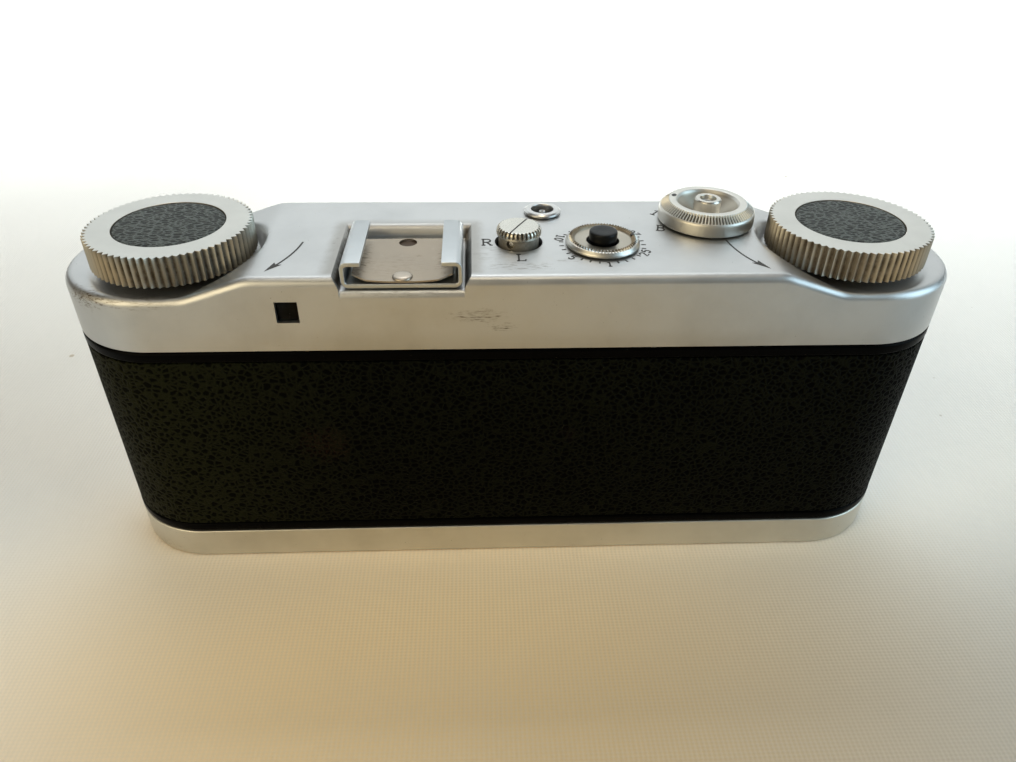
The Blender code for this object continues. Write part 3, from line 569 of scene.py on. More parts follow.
# ------------------------------------------------------------------ materials
def pocket_dirt_and_shade(s, base):
    """Old dirt and painted shade on the side walls of the shoe's pocket, with painted shade fading on to the plate."""
    x, y, z = s.xyz()[:3]
    off = s.math("ABSOLUTE", s.math("SUBTRACT", x, POCKET_X))
    rough = s.math("MULTIPLY", s.math("SUBTRACT", s.noise(0.7, 4, 0.6), 0.5), 1.2)
    # The pocket's side walls are drawn dark brown: dirt together with painted shade.
    wall = s.math("MULTIPLY", s.step(s.math("ADD", z, rough), 64.0, 63.2), s.step(off, 10.0, 10.6))
    wall = s.math("MULTIPLY", s.math("MULTIPLY", wall, s.step(off, 13.4, 12.8)), s.step(y, 16.7, 15.6))
    wall = s.math("MULTIPLY", wall, s.step(y, -8.0, -6.5))
    base = s.mix(s.math("MULTIPLY", wall, 0.85), base, (0.075, 0.055, 0.035))
    # Painted shade: a soft darker band on the plate round the pocket.
    plate_shade_halo = s.math("MULTIPLY", s.step(s.math("ADD", off, rough), 14.4, 12.0), s.step(z, 63.5, 63.7))
    plate_shade_halo = s.math("MULTIPLY", s.math("MULTIPLY", plate_shade_halo, s.step(y, 15.8, 14.2)), s.step(y, -8.0, -4.0))
    return s.mix(s.math("MULTIPLY", plate_shade_halo, 0.45), base, (0.20, 0.17, 0.13))


POCKET_X = (span("accessory_shoe")[0][0] + span("accessory_shoe")[1][0]) / 2 + 0.05
M_COVER = chrome("cover_chrome", (0.555, 0.56, 0.56), 0.40, 0.010, 0.25, 0.0, stain=pocket_dirt_and_shade, dirt_and_shade_spots=[
    # The first four spots, on the left ledge under the rewind knob, paint the knob's contact shadow along with tarnish.
    ((73.0, 14.6, 59.8), (6.0, 2.6, 1.2), 1.0), ((68.0, 15.4, 59.6), (6.0, 2.0, 1.0), 1.0), ((74.0, 13.5, 59.2), (7.5, 4.0, 2.2), 0.95), ((62.0, 15.6, 59.4), (7.0, 2.5, 1.5), 0.55),
    ((7.0, 16.84, 57.0), (5.5, 2.0, 1.6), 0.75), ((2.5, 16.84, 54.8), (3.0, 2.0, 1.0), 0.95),
    ((-0.5, 12.5, 64.0), (6.5, 2.2, 1.5), 0.55), ((-8.5, 10.5, 64.0), (2.6, 1.0, 1.2), 0.5),
    ((-44.0, 1.0, 64.0), (5.0, 3.0, 2.0), 0.18), ((-15.4, 4.1, 64.0), (9.0, 8.5, 2.0), 0.12),
    ((3.5, 6.5, 64.0), (6.0, 5.5, 2.0), 0.22), ((19.4, 16.8, 61.5), (11.5, 1.2, 1.2), 0.35)])
M_BASE = chrome("base_chrome", (0.655, 0.635, 0.575), 0.40, 0.010, 0.3, 0.10, dirt_and_shade_spots=[
    ((70.0, 12.0, 1.5), (8.0, 5.0, 2.0), 0.3), ((-72.0, 10.0, 1.0), (7.0, 5.0, 2.0), 0.25)])
M_PANEL = chrome("panel_chrome", (0.64, 0.64, 0.63), 0.38, 0.007, 0.2, 0.12)
M_SATIN = chrome("satin_chrome", (0.62, 0.615, 0.60), 0.36, 0.006, 0.3, 0.08)
# Both dark spots lie on the bracket under the leaf's hole: painted shade in the hole, with brown dirt.
M_SHOE = chrome("shoe_chrome", (0.52, 0.545, 0.56), 0.34, 0.006, 0.3, 0.05, dirt_and_shade_spots=[((19.3, 0.95, 62.6), (2.6, 2.6, 0.7), 1.0), ((19.3, 1.1, 62.6), (2.3, 2.3, 0.7), 1.0)])
M_BRIGHT = chrome("bright_chrome", (0.70, 0.70, 0.69), 0.17, 0.003, 0.25, 0.06)
M_LEATHER = leather("body_leather", 1.0, wear=[
    ((36.0, 16.84, 29.5), (6.0, 6.0, 5.0), (0.030, 0.014, 0.008), 0.35),
    ((-10.0, 16.84, 31.0), (2.0, 4.0, 2.5), (0.014, 0.009, 0.007), 0.35)])
M_INSET = leather("inset_leather", 1.7, lo=(0.009, 0.012, 0.011), hi=(0.050, 0.062, 0.057), spec=0.35, rough=0.42, squash=0.5)
M_ENAMEL = enamel("black_enamel")
M_BLACK = blackened("blackened_metal")
M_INK = ink("mark_filler")
M_EBONITE = enamel("ebonite", (0.003, 0.0034, 0.004), 0.30, 0.05, 0.16)
M_GLASS = glass("optical_glass")
M_EYE = glass("finder_glass", (0.022, 0.020, 0.017), (1, 1, 1), 1.2, 0.0)
M_FIBRE = blackened("insulator", (0.022, 0.016, 0.012))
M_BRASS = turned_metal("turned_brass", (0.78, 0.58, 0.27), 0.30)
M_STEEL = turned_metal("turned_steel", (0.62, 0.61, 0.60), 0.30)


# ------------------------------------------------------------------ top cover
def roof(x, y):
    """Height of the cover's top: raised middle, straight shoulders, and a
    round hollow with a soft rim round each big knob."""
    ax = np.abs(x)
    lin = PLATE - (ax - 45.0) * (PLATE - LEDGE) / 10.7
    k = 0.17
    h = np.clip(lin, LEDGE - 20, PLATE + 20)
    h = -k * np.logaddexp(-h / k, -PLATE / k)
    h = k * np.logaddexp(h / k, LEDGE / k)
    rr = np.hypot(ax - KX, y - KY)
    cone = LEDGE + (rr - 14.55) * 2.3
    k2 = 0.28
    cone = k2 * np.logaddexp(cone / k2, LEDGE / k2)
    h = -k2 * np.logaddexp(-h / k2, -cone / k2)
    return np.minimum(h, PLATE)


def cover_surface(inset, top, bottom, edge, n_in, drop=0.0):
    """Closed body with the cover's plan: wall, rounded edge and roof."""
    xs = [60.0 - 120.0 * i / 300 for i in range(301)]
    xs = [x for x in xs if abs(x) < END - 0.05]
    levels = []
    for i in range(9):
        q = math.pi / 2 * i / 8
        levels.append((inset + edge * (1 - math.cos(q)), -edge * (1 - math.sin(q))))
    rest = R - inset - edge
    for i in range(1, n_in + 1):
        levels.append((inset + edge + rest * i / n_in, 0.0))
    bm = bmesh.new()
    rings = []
    out = stadium(R - inset, 72, xs=xs)
    lip = 0.18
    for o, z in ((inset + lip, bottom), (inset + 0.3 * lip, bottom + 0.3 * lip), (inset, bottom + lip), (inset, bottom + 4.0)):
        rings.append([bm.verts.new((x, y, z)) for x, y in stadium(R - o, 72, xs=xs)])
    for o, dz in levels:
        pts = np.array(stadium(max(R - o, 0.0), 72, xs=xs))
        h = roof(pts[:, 0], pts[:, 1]) - drop + dz
        rings.append([bm.verts.new((x, y, z)) for (x, y), z in zip(pts, h)])
    n = len(rings[0])
    for a, b in zip(rings, rings[1:]):
        for i in range(n):
            j = (i + 1) % n
            bm.faces.new((a[i], a[j], b[j], b[i]))
    bm.faces.new(rings[0][::-1])
    bmesh.ops.remove_doubles(bm, verts=bm.verts, dist=0.004)
    bmesh.ops.dissolve_degenerate(bm, edges=bm.edges, dist=0.0005)
    return bm


cover = finish_bm("cover_shell", cover_surface(0.0, PLATE, COVER_LO[2], 1.55, 40), M_COVER, None)
# hollow, kept clear of the pocket floor
inner = finish_bm("inner_tmp", cover_surface(1.0, PLATE, COVER_LO[2] - 2.0, 0.8, 12, drop=1.1), None, None, smooth=False)
px0, px1, py0, pz = SHOE_LO[0] - 1.35, SHOE_HI[0] + 1.45, -5.6, SHOE_LO[2] - 0.3
cut(inner, box_bm((px0 - 1.1, py0 - 1.1, pz - 1.1), (px1 + 1.1, 24, 72)))
bm = bmesh.new()
bm.from_mesh(inner.data)
bmesh.ops.scale(bm, vec=(1000,) * 3, verts=bm.verts)
bpy.data.objects.remove(inner, do_unlink=True)
cut(cover, bm)
# pocket for the accessory shoe: rounded front bend, rolled rear sill
prof = [(26.0, 72.0), (py0 - 0.25, 72.0), (py0 - 0.25, PLATE + 0.02)]
for i in range(11):
    q = math.pi / 2 * i / 10
    prof.append((py0 + 1.9 * math.sin(q), pz + 0.35 + (PLATE + 0.02 - pz - 0.35) * math.cos(q)))
for i in range(1, 6):
    q = math.pi / 2 * i / 5
    prof.append((py0 + 1.9 + 0.35 * (1 - math.cos(q)), pz + 0.35 * (1 - math.sin(q))))
for i in range(9):
    q = math.pi / 2 * i / 8
    prof.append((R - 1.3 + 1.32 * math.sin(q), pz - 1.3 * (1 - math.cos(q))))
prof.append((26.0, pz - 1.3))
pocket = finish_bm("pocket_tmp", prism_bm([(y, z) for y, z in prof], px0 - 6, px1 + 6, place=lambda a, b, c: (c, a, b)), None, None, smooth=False)
pcx, pw = (SHOE_LO[0] + SHOE_HI[0]) / 2, (SHOE_HI[0] - SHOE_LO[0]) / 2
side = [(pw + 0.34, pz - 4), (pw + 0.34, pz + 0.25)]
for i in range(1, 9):
    q = i / 8
    side.append((pw + 0.34 + 1.15 * q ** 1.9, pz + 0.25 + (PLATE + 0.03 - pz - 0.25) * q))
side.append((pw + 2.1, PLATE + 0.20))
side.append((pw + 2.1, 74.0))
cut(pocket, prism_bm([(pcx + x, z) for x, z in side] + [(pcx - x, z) for x, z in side[::-1]], -30, 30, place=lambda a, b, c: (a, c, b)), op="INTERSECT")
bm = bmesh.new()
bm.from_mesh(pocket.data)
bmesh.ops.scale(bm, vec=(1000,) * 3, verts=bm.verts)
bpy.data.objects.remove(pocket, do_unlink=True)
cut(cover, bm)
# openings for the controls, each with a slightly broken edge
for (x, y), r, z in (((KX, KY), 4.3, LEDGE), ((-KX, KY), 4.3, LEDGE), (DIAL, 2.8, PLATE), (COUNT, 3.4, PLATE),
                     (SEL, 4.23, PLATE), (SYNC, 3.2, PLATE)):
    cut(cover, lathe_bm([(0, 72), (r + 0.9, 72), (r + 0.16, z + 0.01), (r + 0.03, z - 0.05), (r, z - 0.16), (r, 57.0), (0, 57.0)],
                        (x, y), 64))
eye_lo, eye_hi = (36.8, 10, 55.95), (40.6, 20, 59.92)
cut(cover, box_bm(eye_lo, eye_hi))
win_lo, win_hi = (33.2, -20, 53.8), (44.2, -10, 60.2)
cut(cover, box_bm(win_lo, win_hi))
resmooth(cover, 30)
cover.data.materials.clear()
cover.data.materials.append(M_COVER)
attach(cover, BODY_OF["top_cover"])
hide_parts("top_cover")
print("cover verts", len(cover.data.vertices))

# ------------------------------------------------------------------ body
lvl = lambda pts: pts
shell_lv = [(R - 0.9, BZ1), (R - 0.25, BZ1), (R, BZ1 - 0.25)]
s0, s1 = 9.15, 48.05
for a0, a1 in ((BZ1 - 0.25, s1), ):
    pass
shell_prof = fillet([(R - 2.0, BZ1), (R, BZ1), (R, s1), (R - 0.8, s1), (R - 0.8, s0), (R, s0), (R, 7.2), (15.5, 7.2),
                     (15.5, BZ0), (14.9, BZ0), (14.9, 48.1)], [0, 0.55, 0.5, 0.1, 0.1, 0.5, 0.45, 0.1, 0.1, 0.1, 0.1], 5)
shell = finish_bm("shell_tube", ring_loft(shell_prof, 64, 8), M_ENAMEL, None)
for x in (LX, -LX):
    cut(shell, lathe_bm([(0, 13.0), (12.4, 13.0), (12.4, 20.0), (0, 20.0)], (x, LZ), 96, axis="Y"))
for x in (KX, -KX):
    cut(shell, lathe_bm([(0, 53), (3.2, 53), (3.2, 46), (0, 46)], (x, KY), 48))
sp_lo, sp_hi = span("sprocket_gear")
SPK = mid("sprocket_gear")[:2]
cut(shell, lathe_bm([(0, 53), (1.9, 53), (1.9, 46), (0, 46)], SPK, 32))
resmooth(shell, 30)
shell.data.materials.clear()
shell.data.materials.append(M_ENAMEL)
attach(shell, BODY_OF["body_shell"])
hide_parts("body_shell")

l0, l1 = span("body_leather")[0][2] - 0.12, span("body_leather")[1][2] + 0.12
skin_prof = fillet([(R - 0.62, l0), (R - 0.06, l0), (R - 0.06, l1), (R - 0.62, l1)], [0.0, 0.35, 0.35, 0.0], 5, True)
skin = finish_bm("leather_band", ring_loft(skin_prof, 64, 8, cap=False), M_LEATHER, None)
pl, ph = span("lens_panel")
pcz, phz, phx = (pl[2] + ph[2]) / 2, (ph[2] - pl[2]) / 2, (ph[0] - pl[0]) / 2
panel_out = fillet([(-phx, -phz), (phx, -phz), (phx, phz), (-phx, phz)], 9.0, 12, True)
skin_out = fillet([(-phx - .3, -phz - .3), (phx + .3, -phz - .3), (phx + .3, phz + .3), (-phx - .3, phz + .3)], 9.3, 12, True)
cut(skin, prism_bm(skin_out, 14.0, 20.0, place=lambda x, y, z: (x, -z, y + pcz)))
resmooth(skin, 30)
skin.data.materials.clear()
skin.data.materials.append(M_LEATHER)
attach(skin, BODY_OF["body_leather"])
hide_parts("body_leather")

# ------------------------------------------------------------------ base
base_prof = fillet([(14.0, 1.2), (R - 1.0, 1.2), (R - 1.0, BASE_H), (R, BASE_H), (R, 0.0), (14.0, 0.0)],
                   [0, 0.4, 0.1, 0.28, 0.8, 0], 6)
base = finish_bm("base_shell", ring_loft(base_prof, 64, 8), M_BASE, None)
LK = mid("base_lock_key")[:2]
TR = mid("tripod_bush")[:2]
cut(base, lathe_bm([(0, 4), (8.3, 4), (8.3, 0.3), (8.6, -0.01), (8.9, -1), (0, -1)], LK, 96))
cut(base, lathe_bm([(0, 4), (5.5, 4), (5.5, 0.3), (5.8, -0.01), (6.1, -1), (0, -1)], TR, 64))
resmooth(base, 30)
base.data.materials.clear()
base.data.materials.append(M_BASE)
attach(base, BODY_OF["bottom_cover"])
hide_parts("bottom_cover")

# lock key: turned disc with two finger hollows that leave a bar
key = finish_bm("lock_key", lathe_bm(fillet([(0, 3.1), (3.6, 3.1), (3.6, 1.9), (8.0, 1.9), (8.0, 0.25), (0, 0.25)],
                                            [0, 0.2, 0.1, 0.2, 0.25, 0], 4), LK, 96), M_BRIGHT, None)
for sgn in (1, -1):
    moon = [(6.7 * math.cos(math.radians(a)), sgn * 6.7 * math.sin(math.radians(a))) for a in
            [math.degrees(math.asin(1.15 / 6.7)) + (180 - 2 * math.degrees(math.asin(1.15 / 6.7))) * i / 40 for i in range(41)]]
    cut(key, prism_bm([(x + LK[0], y + LK[1]) for x, y in fillet(moon, [0.8] + [0] * 39 + [0.8], 4, True)], -1.0, 1.1))
resmooth(key, 30)
key.data.materials.clear()
key.data.materials.append(M_BRIGHT)
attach(key, BODY_OF["base_lock_key"])
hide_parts("base_lock_key")
lb0, lb1 = span("base_lock_bar")
finish_bm("lock_bar", prism_bm(fillet([(lb0[0], lb0[1]), (lb1[0], lb0[1]), (lb1[0], lb1[1]), (lb0[0], lb1[1])], 2.6, 8, True),
                               lb0[2], lb1[2], 0.2), M_STEEL, BODY_OF["base_lock_bar"], "base_lock_bar")
th = [(3.2, 6.0), (5.2, 6.0), (5.2, 2.8), (7.6, 2.8), (7.6, 1.5), (5.2, 1.5), (5.2, 0.2)]
thread = []
for i in range(9):
    z = 0.5 + i * 0.58
    thread += [(3.25, z), (3.0, z + 0.29)]
finish_bm("tripod_socket", lathe_bm(fillet(th, [0.1, 0.2, 0.1, 0.2, 0.2, 0.1, 0.25], 3) + [(3.5, 0.2)] + thread, TR, 64, closed=True),
          turned_metal("socket_steel", (0.66, 0.65, 0.63), 0.3, (TR[0], TR[1], 0)), BODY_OF["tripod_bush"], "tripod_bush")

# ------------------------------------------------------------------ big knobs
TEETH = 71
kz0, kz1 = KNOB_LO[2], KNOB_HI[2]
KR = (KNOB_HI[0] - KNOB_LO[0]) / 2
for nm, sx, ph0 in (("rewind", 1, 0.0), ("wind", -1, 0.3)):
    at = (sx * KX, KY)
    mat = toothed_chrome(nm + "_knob_chrome", at, KR - 0.62, KR - 0.08, zband=(kz0, kz1 - 0.01), tint=(0.62, 0.61, 0.57), amount=0.92, dirt=(0.060, 0.043, 0.025), side=0.5)

    def shape(a, r, h, ph0=ph0):
        d = 0.78 * tri(a, TEETH, ph0)
        if r > KR - 1.2 and kz0 + 0.05 < h < kz1 - 0.005:
            return min(r, KR - d)
        if r > KR - 1.2:
            return min(r, KR - d - 0.03)
        return r
    prof = [(0, kz1 - 0.75), (9.45, kz1 - 0.75), (9.5, kz1 - 0.70), (9.52, kz1 - 0.06), (9.60, kz1), (12.7, kz1),
            (KR - 0.05, kz1), (KR, kz1 - 0.05), (KR, kz1 - 1.5), (KR, kz1 - 3.0), (KR, kz0 + 0.12), (KR - 0.16, kz0 + 0.01),
            (12.6, kz0), (6.0, kz0), (2.95, kz0), (2.9, kz0 + 0.06), (2.9, 65.3), (0, 65.3)]
    finish_bm(nm + "_knob_body", lathe_bm(prof, at, TEETH * 6, shape=shape), mat, BODY_OF[nm + "_knob"], nm + "_knob", sharp=28)
    ins = [(0, kz1 - 0.02), (8.6, kz1 - 0.02), (9.1, kz1 - 0.05), (9.34, kz1 - 0.16), (9.38, kz1 - 0.3), (9.38, kz1 - 0.70), (0, kz1 - 0.70)]
    finish_bm(nm + "_inset", lathe_bm(ins, at, 128), M_INSET, BODY_OF[nm + "_knob_inset"], nm + "_knob_inset")
    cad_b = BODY_OF[nm + "_bearing"]
    b0, b1 = span(nm + "_bearing")
    finish_bm(nm + "_bearing_ring", lathe_bm(fillet([(2.9, b1[2]), (5.6, b1[2]), (5.6, 60.8), (4.0, 60.8), (4.0, b0[2]), (2.9, b0[2])],
                                                    [0.15, 0.2, 0.1, 0.1, 0.15, 0.1], 3, True), at, 72, closed=True),
              turned_metal(nm + "_bearing_brass", (0.78, 0.58, 0.27), 0.3, (at[0], at[1], 0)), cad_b, nm + "_bearing")

for nm, sx in (("wind", -1), ("rewind", 1)):
    s0_, s1_ = span(nm + "_shaft")
    sh = finish_bm(nm + "_shaft_turned", lathe_bm(fillet([(0, s1_[2]), (2.6, s1_[2]), (2.6, s0_[2]), (0, s0_[2])], [0, 0.3, 0.3, 0], 3),
                                                  (sx * KX, KY), 48),
                   turned_metal(nm + "_shaft_steel", (0.62, 0.61, 0.60), 0.28, (sx * KX, KY, 0)), None)
    mats = list(sh.data.materials)
    if nm == "rewind":
        cut(sh, box_bm((KX - 0.8, KY - 6, s0_[2] - 2), (KX + 0.8, KY + 6, s0_[2] + 5)))
        resmooth(sh)
        sh.data.materials.clear()
        sh.data.materials.append(mats[0])
    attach(sh, BODY_OF[nm + "_shaft"])
    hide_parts(nm + "_shaft")

# ------------------------------------------------------------------ speed dial
dz0, dz1 = span("speed_dial")[0][2], span("speed_dial")[1][2]
DR = (span("speed_dial")[1][0] - span("speed_dial")[0][0]) / 2
RIM = dz1 + 0.45
M_DIAL = toothed_chrome("dial_chrome", DIAL, 1.0, 2.0, amount=0.0, tint=(0.66, 0.645, 0.60), rough=0.42, slots=(88, 7.25, 8.56))


def dial_shape(a, r, h):
    if RIM - 1.10 < h < RIM - 0.015 and r > 7.2:
        t = (a / math.tau * 88) % 1.0
        g = max(0.0, 1.0 - abs(t - 0.5) / 0.27) ** 0.6
        return r - 0.02 * g
    return r


dprof = [(2.8, dz1 - 2.42), (3.3, dz1 - 1.95), (5.15, dz1 - 0.45), (5.62, dz1 + 0.02), (5.80, RIM - 0.10), (5.88, RIM - 0.03), (5.98, RIM),
         (7.15, RIM), (7.27, RIM - 0.05), (7.6, RIM - 0.31), (8.0, RIM - 0.63), (8.35, RIM - 0.92), (8.54, RIM - 1.08), (8.57, RIM - 1.11),
         (8.74, RIM - 1.26), (8.85, RIM - 1.48), (DR, RIM - 1.8), (DR, dz0 + 0.25), (DR - 0.06, dz0 + 0.08), (DR - 0.2, dz0), (2.8, dz0)]
dbm = lathe_bm(dprof, DIAL, 88 * 8, closed=True, shape=dial_shape)
# fine slots sunk in the sloping rim
for v in dbm.verts:
    x_, y_ = v.co.x - DIAL[0], v.co.y - DIAL[1]
    r_ = math.hypot(x_, y_)
    if 7.2 < r_ < 8.56 and RIM - 1.10 < v.co.z < RIM - 0.01:
        t_ = (math.atan2(y_, x_) / math.tau * 88) % 1.0
        g_ = 1.0 if abs(t_ - 0.5) < 0.20 else max(0.0, 1 - (abs(t_ - 0.5) - 0.20) / 0.10)
        end_ = min(1.0, (r_ - 7.2) / 0.15)
        v.co.z -= 0.30 * g_ * end_
        v.co.x -= x_ / r_ * 0.16 * g_ * end_
        v.co.y -= y_ / r_ * 0.16 * g_ * end_
finish_bm("dial_ring", dbm, M_DIAL, BODY_OF["speed_dial"], "speed_dial", sharp=30)
pz0, pz1 = span("dial_post")[0][2], span("dial_post")[1][2]
M_POST = turned_metal("post_chrome", (0.66, 0.64, 0.59), 0.3, (*DIAL, 0))
post = [(0, pz0)] + fillet([(2.47, pz0), (2.47, pz1 - 0.30), (2.25, pz1), (1.52, pz1), (1.40, pz1 - 1.5), (0.0, pz1 - 1.5)],
                           [0.1, 0.12, 0.12, 0.10, 0.05, 0], 4)
finish_bm("dial_post_turned", lathe_bm(post, DIAL, 72), M_POST, BODY_OF["dial_post"], "dial_post")
sc = finish_bm("dial_post_pin", lathe_bm(fillet([(0, 68.0), (0.55, 68.0), (1.0, 67.85), (1.35, 67.5), (1.35, 67.2), (0, 67.2)],
                                               [0, 0.2, 0.2, 0.1, 0.1, 0], 3), DIAL, 40), None, None)
cut(sc, box_bm((DIAL[0] - 3, DIAL[1] - 0.16, 67.75), (DIAL[0] + 3, DIAL[1] + 0.16, 69)))
resmooth(sc)
sc.data.materials.clear()
sc.data.materials.append(M_STEEL)
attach(sc, BODY_OF["dial_post_screw"])
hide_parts("dial_post_screw")

# ------------------------------------------------------------------ counter
cz0, cz1 = span("counter_ring")[0][2], span("counter_ring")[1][2]
M_COUNT = toothed_chrome("counter_chrome", COUNT, 5.62, 5.98, amount=0.80, tint=(0.66, 0.65, 0.61), rough=0.34, zband=(cz0, cz1 + 1), inner=5.12, slots=(60, 5.45, 5.98))


def crest(a, r, h):
    if h > cz1 - 0.30 and 5.0 < r < 6.2:
        t = tri(a, 68)
        return r - 0.42 * t if r > 5.6 else r + 0.18 * t
    return r


cprof = [(2.9, 64.36), (2.9, 64.80), (2.98, 64.86), (4.75, 64.86), (4.95, 64.92), (5.08, 65.05), (5.18, 65.25), (5.28, cz1 - 0.2), (5.38, cz1),
         (5.86, cz1), (6.00, cz1 - 0.16), (6.14, cz1 - 0.29), (6.2, cz1 - 0.36), (6.34, cz1 - 0.55), (6.48, 64.88), (6.58, 64.74), (6.60, 64.62),
         (6.60, 64.46), (6.54, 64.38), (6.45, 64.36)]
cbm = lathe_bm(cprof, COUNT, 68 * 8, closed=True, shape=crest)
for v in cbm.verts:
    x_, y_ = v.co.x - COUNT[0], v.co.y - COUNT[1]
    r_ = math.hypot(x_, y_)
    if v.co.z > cz1 - 0.02 and r_ > 5.2:
        t_ = tri(math.atan2(y_, x_) % math.tau, 68)
        v.co.z -= 0.17 * t_
finish_bm("counter_dial", cbm, M_COUNT, BODY_OF["counter_ring"], "counter_ring", sharp=30)
bz0, bz1 = span("release_button")[0][2], span("release_button")[1][2]
bprof = [(0, bz1 - 0.05), (1.0, bz1 - 0.03), (1.9, bz1), (2.2, bz1 - 0.02), (2.38, bz1 - 0.09), (2.48, bz1 - 0.22), (2.50, bz1 - 0.45),
         (2.50, 65.4), (2.46, 65.0), (2.42, 64.92), (1.6, 64.9), (1.6, bz0), (0, bz0)]
finish_bm("release_key", lathe_bm(bprof, COUNT, 96), M_EBONITE, BODY_OF["release_button"], "release_button")

# ------------------------------------------------------------------ selector
sz1 = span("selector_knob")[1][2]
SR = (span("selector_knob")[1][0] - span("selector_knob")[0][0]) / 2
M_SEL = toothed_chrome("selector_chrome", SEL, SR - 0.50, SR - 0.10, amount=0.95, tint=(0.70, 0.68, 0.62), rough=0.28, zband=(64.0, sz1 - 0.1),
                       dirt=(0.05, 0.036, 0.02), inner=3.25, side=0.3)


def sel_shape(a, r, h):
    if 66.02 < h < sz1 - 0.10 and r > 3.3:
        t = (a / math.tau * 32) % 1.0
        if abs(t - 0.5) < 0.25:
            return r - 0.45 * min(1.0, (0.25 - abs(t - 0.5)) / 0.07)
    return r


sprof = [(0, sz1), (2.8, sz1 - 0.02), (3.44, sz1 - 0.05), (3.62, sz1 - 0.11), (3.63, sz1 - 0.12), (3.80, sz1 - 0.30), (3.92, sz1 - 0.55), (SR - 0.02, sz1 - 0.85),
         (SR, 66.04), (SR, 66.0), (SR, 65.75), (SR - 0.04, 65.62), (SR - 0.16, 65.52), (3.62, 65.44), (3.60, 65.3), (3.60, 58.0), (0, 58.0)]
sel = finish_bm("selector_cap", lathe_bm(sprof, SEL, 32 * 14, shape=sel_shape), M_SEL, None)
sa = math.radians(SEL_ANGLE)
ca, sn = math.cos(sa), math.sin(sa)


def turn_sel(x, y):
    return SEL[0] + x * ca - y * sn, SEL[1] + x * sn + y * ca


cut(sel, prism_bm([turn_sel(x, y) for x, y in ((-3.9, -0.15), (3.9, -0.15), (3.9, 0.15), (-3.9, 0.15))], sz1 - 0.20, sz1 + 1))
hole = lathe_bm([(0, 2.2), (0.72, 2.2), (0.72, 5.0), (0, 5.0)], (0, 0), 32)
bmesh.ops.rotate(hole, matrix=Matrix.Rotation(math.pi / 2, 3, "Y"), verts=hole.verts)
bmesh.ops.rotate(hole, matrix=Matrix.Rotation(sa, 3, "Z"), verts=hole.verts)
bmesh.ops.translate(hole, vec=(SEL[0], SEL[1], 64.75), verts=hole.verts)
cut(sel, hole)
resmooth(sel, 28)
sel.data.materials.clear()
sel.data.materials.append(M_SEL)
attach(sel, BODY_OF["selector_knob"])
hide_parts("selector_knob")
line = finish_bm("selector_index", prism_bm([turn_sel(x, y) for x, y in ((-3.4, -0.135), (3.4, -0.135), (3.4, 0.135), (-3.4, 0.135))],
                                            sz1 - 0.195, sz1 - 0.10), M_INK, BODY_OF["selector_knob"])
gs = lathe_bm([(0, 2.25), (0.5, 2.25), (0.5, 2.95), (0.42, 3.05), (0.2, 3.05), (0.15, 2.9), (0, 2.9)], (0, 0), 24)
bmesh.ops.rotate(gs, matrix=Matrix.Rotation(math.pi / 2, 3, "Y"), verts=gs.verts)
bmesh.ops.rotate(gs, matrix=Matrix.Rotation(sa, 3, "Z"), verts=gs.verts)
bmesh.ops.translate(gs, vec=(SEL[0], SEL[1], 64.75), verts=gs.verts)
finish_bm("selector_grub", gs, M_STEEL, BODY_OF["selector_screw"], "selector_screw")

# ------------------------------------------------------------------ sync socket
yz0, yz1 = span("sync_collar")[0][2], span("sync_collar")[1][2]
finish_bm("sync_ring", lathe_bm(fillet([(2.13, yz1), (3.1, yz1), (3.5, yz1 - 0.3), (3.5, 64.36), (2.9, 64.36), (2.9, yz0), (2.13, yz0)],
                                       [0.18, 0.12, 0.15, 0.06, 0.1, 0.1, 0.1], 4, True), SYNC, 96, closed=True),
          turned_metal("sync_chrome", (0.68, 0.675, 0.66), 0.29, (*SYNC, 0)), BODY_OF["sync_collar"], "sync_collar")
i0, i1 = span("sync_insulator")
finish_bm("sync_washer", lathe_bm(fillet([(0.9, i1[2]), (1.83, i1[2]), (1.83, i0[2]), (0.9, i0[2])], 0.12, 3, True), SYNC, 48, closed=True),
          M_FIBRE, BODY_OF["sync_insulator"], "sync_insulator")
p0, p1 = span("sync_pin")
finish_bm("sync_tube", lathe_bm([(0, p0[2]), (0.6, p0[2]), (0.6, p1[2] - 0.1), (0.52, p1[2]), (0.38, p1[2]), (0.3, p1[2] - 0.1), (0.3, p1[2] - 1.5), (0, p1[2] - 1.5)],
                                SYNC, 36), M_STEEL, BODY_OF["sync_pin"], "sync_pin")

# ------------------------------------------------------------------ accessory shoe
sx, zb, zt = (SHOE_LO[0] + SHOE_HI[0]) / 2, SHOE_LO[2], SHOE_HI[2]
hw, t, lipx = (SHOE_HI[0] - SHOE_LO[0]) / 2, 0.75, 6.6


def at_shoe(x, z, y):
    return sx + x, y, z


cl = fillet([(-lipx, zt - t / 2), (-hw + t / 2, zt - t / 2), (-hw + t / 2, zb + t / 2), (hw - t / 2, zb + t / 2), (hw - t / 2, zt - t / 2), (lipx, zt - t / 2)],
            [0, 0.85, 0.95, 0.95, 0.85, 0], 9)


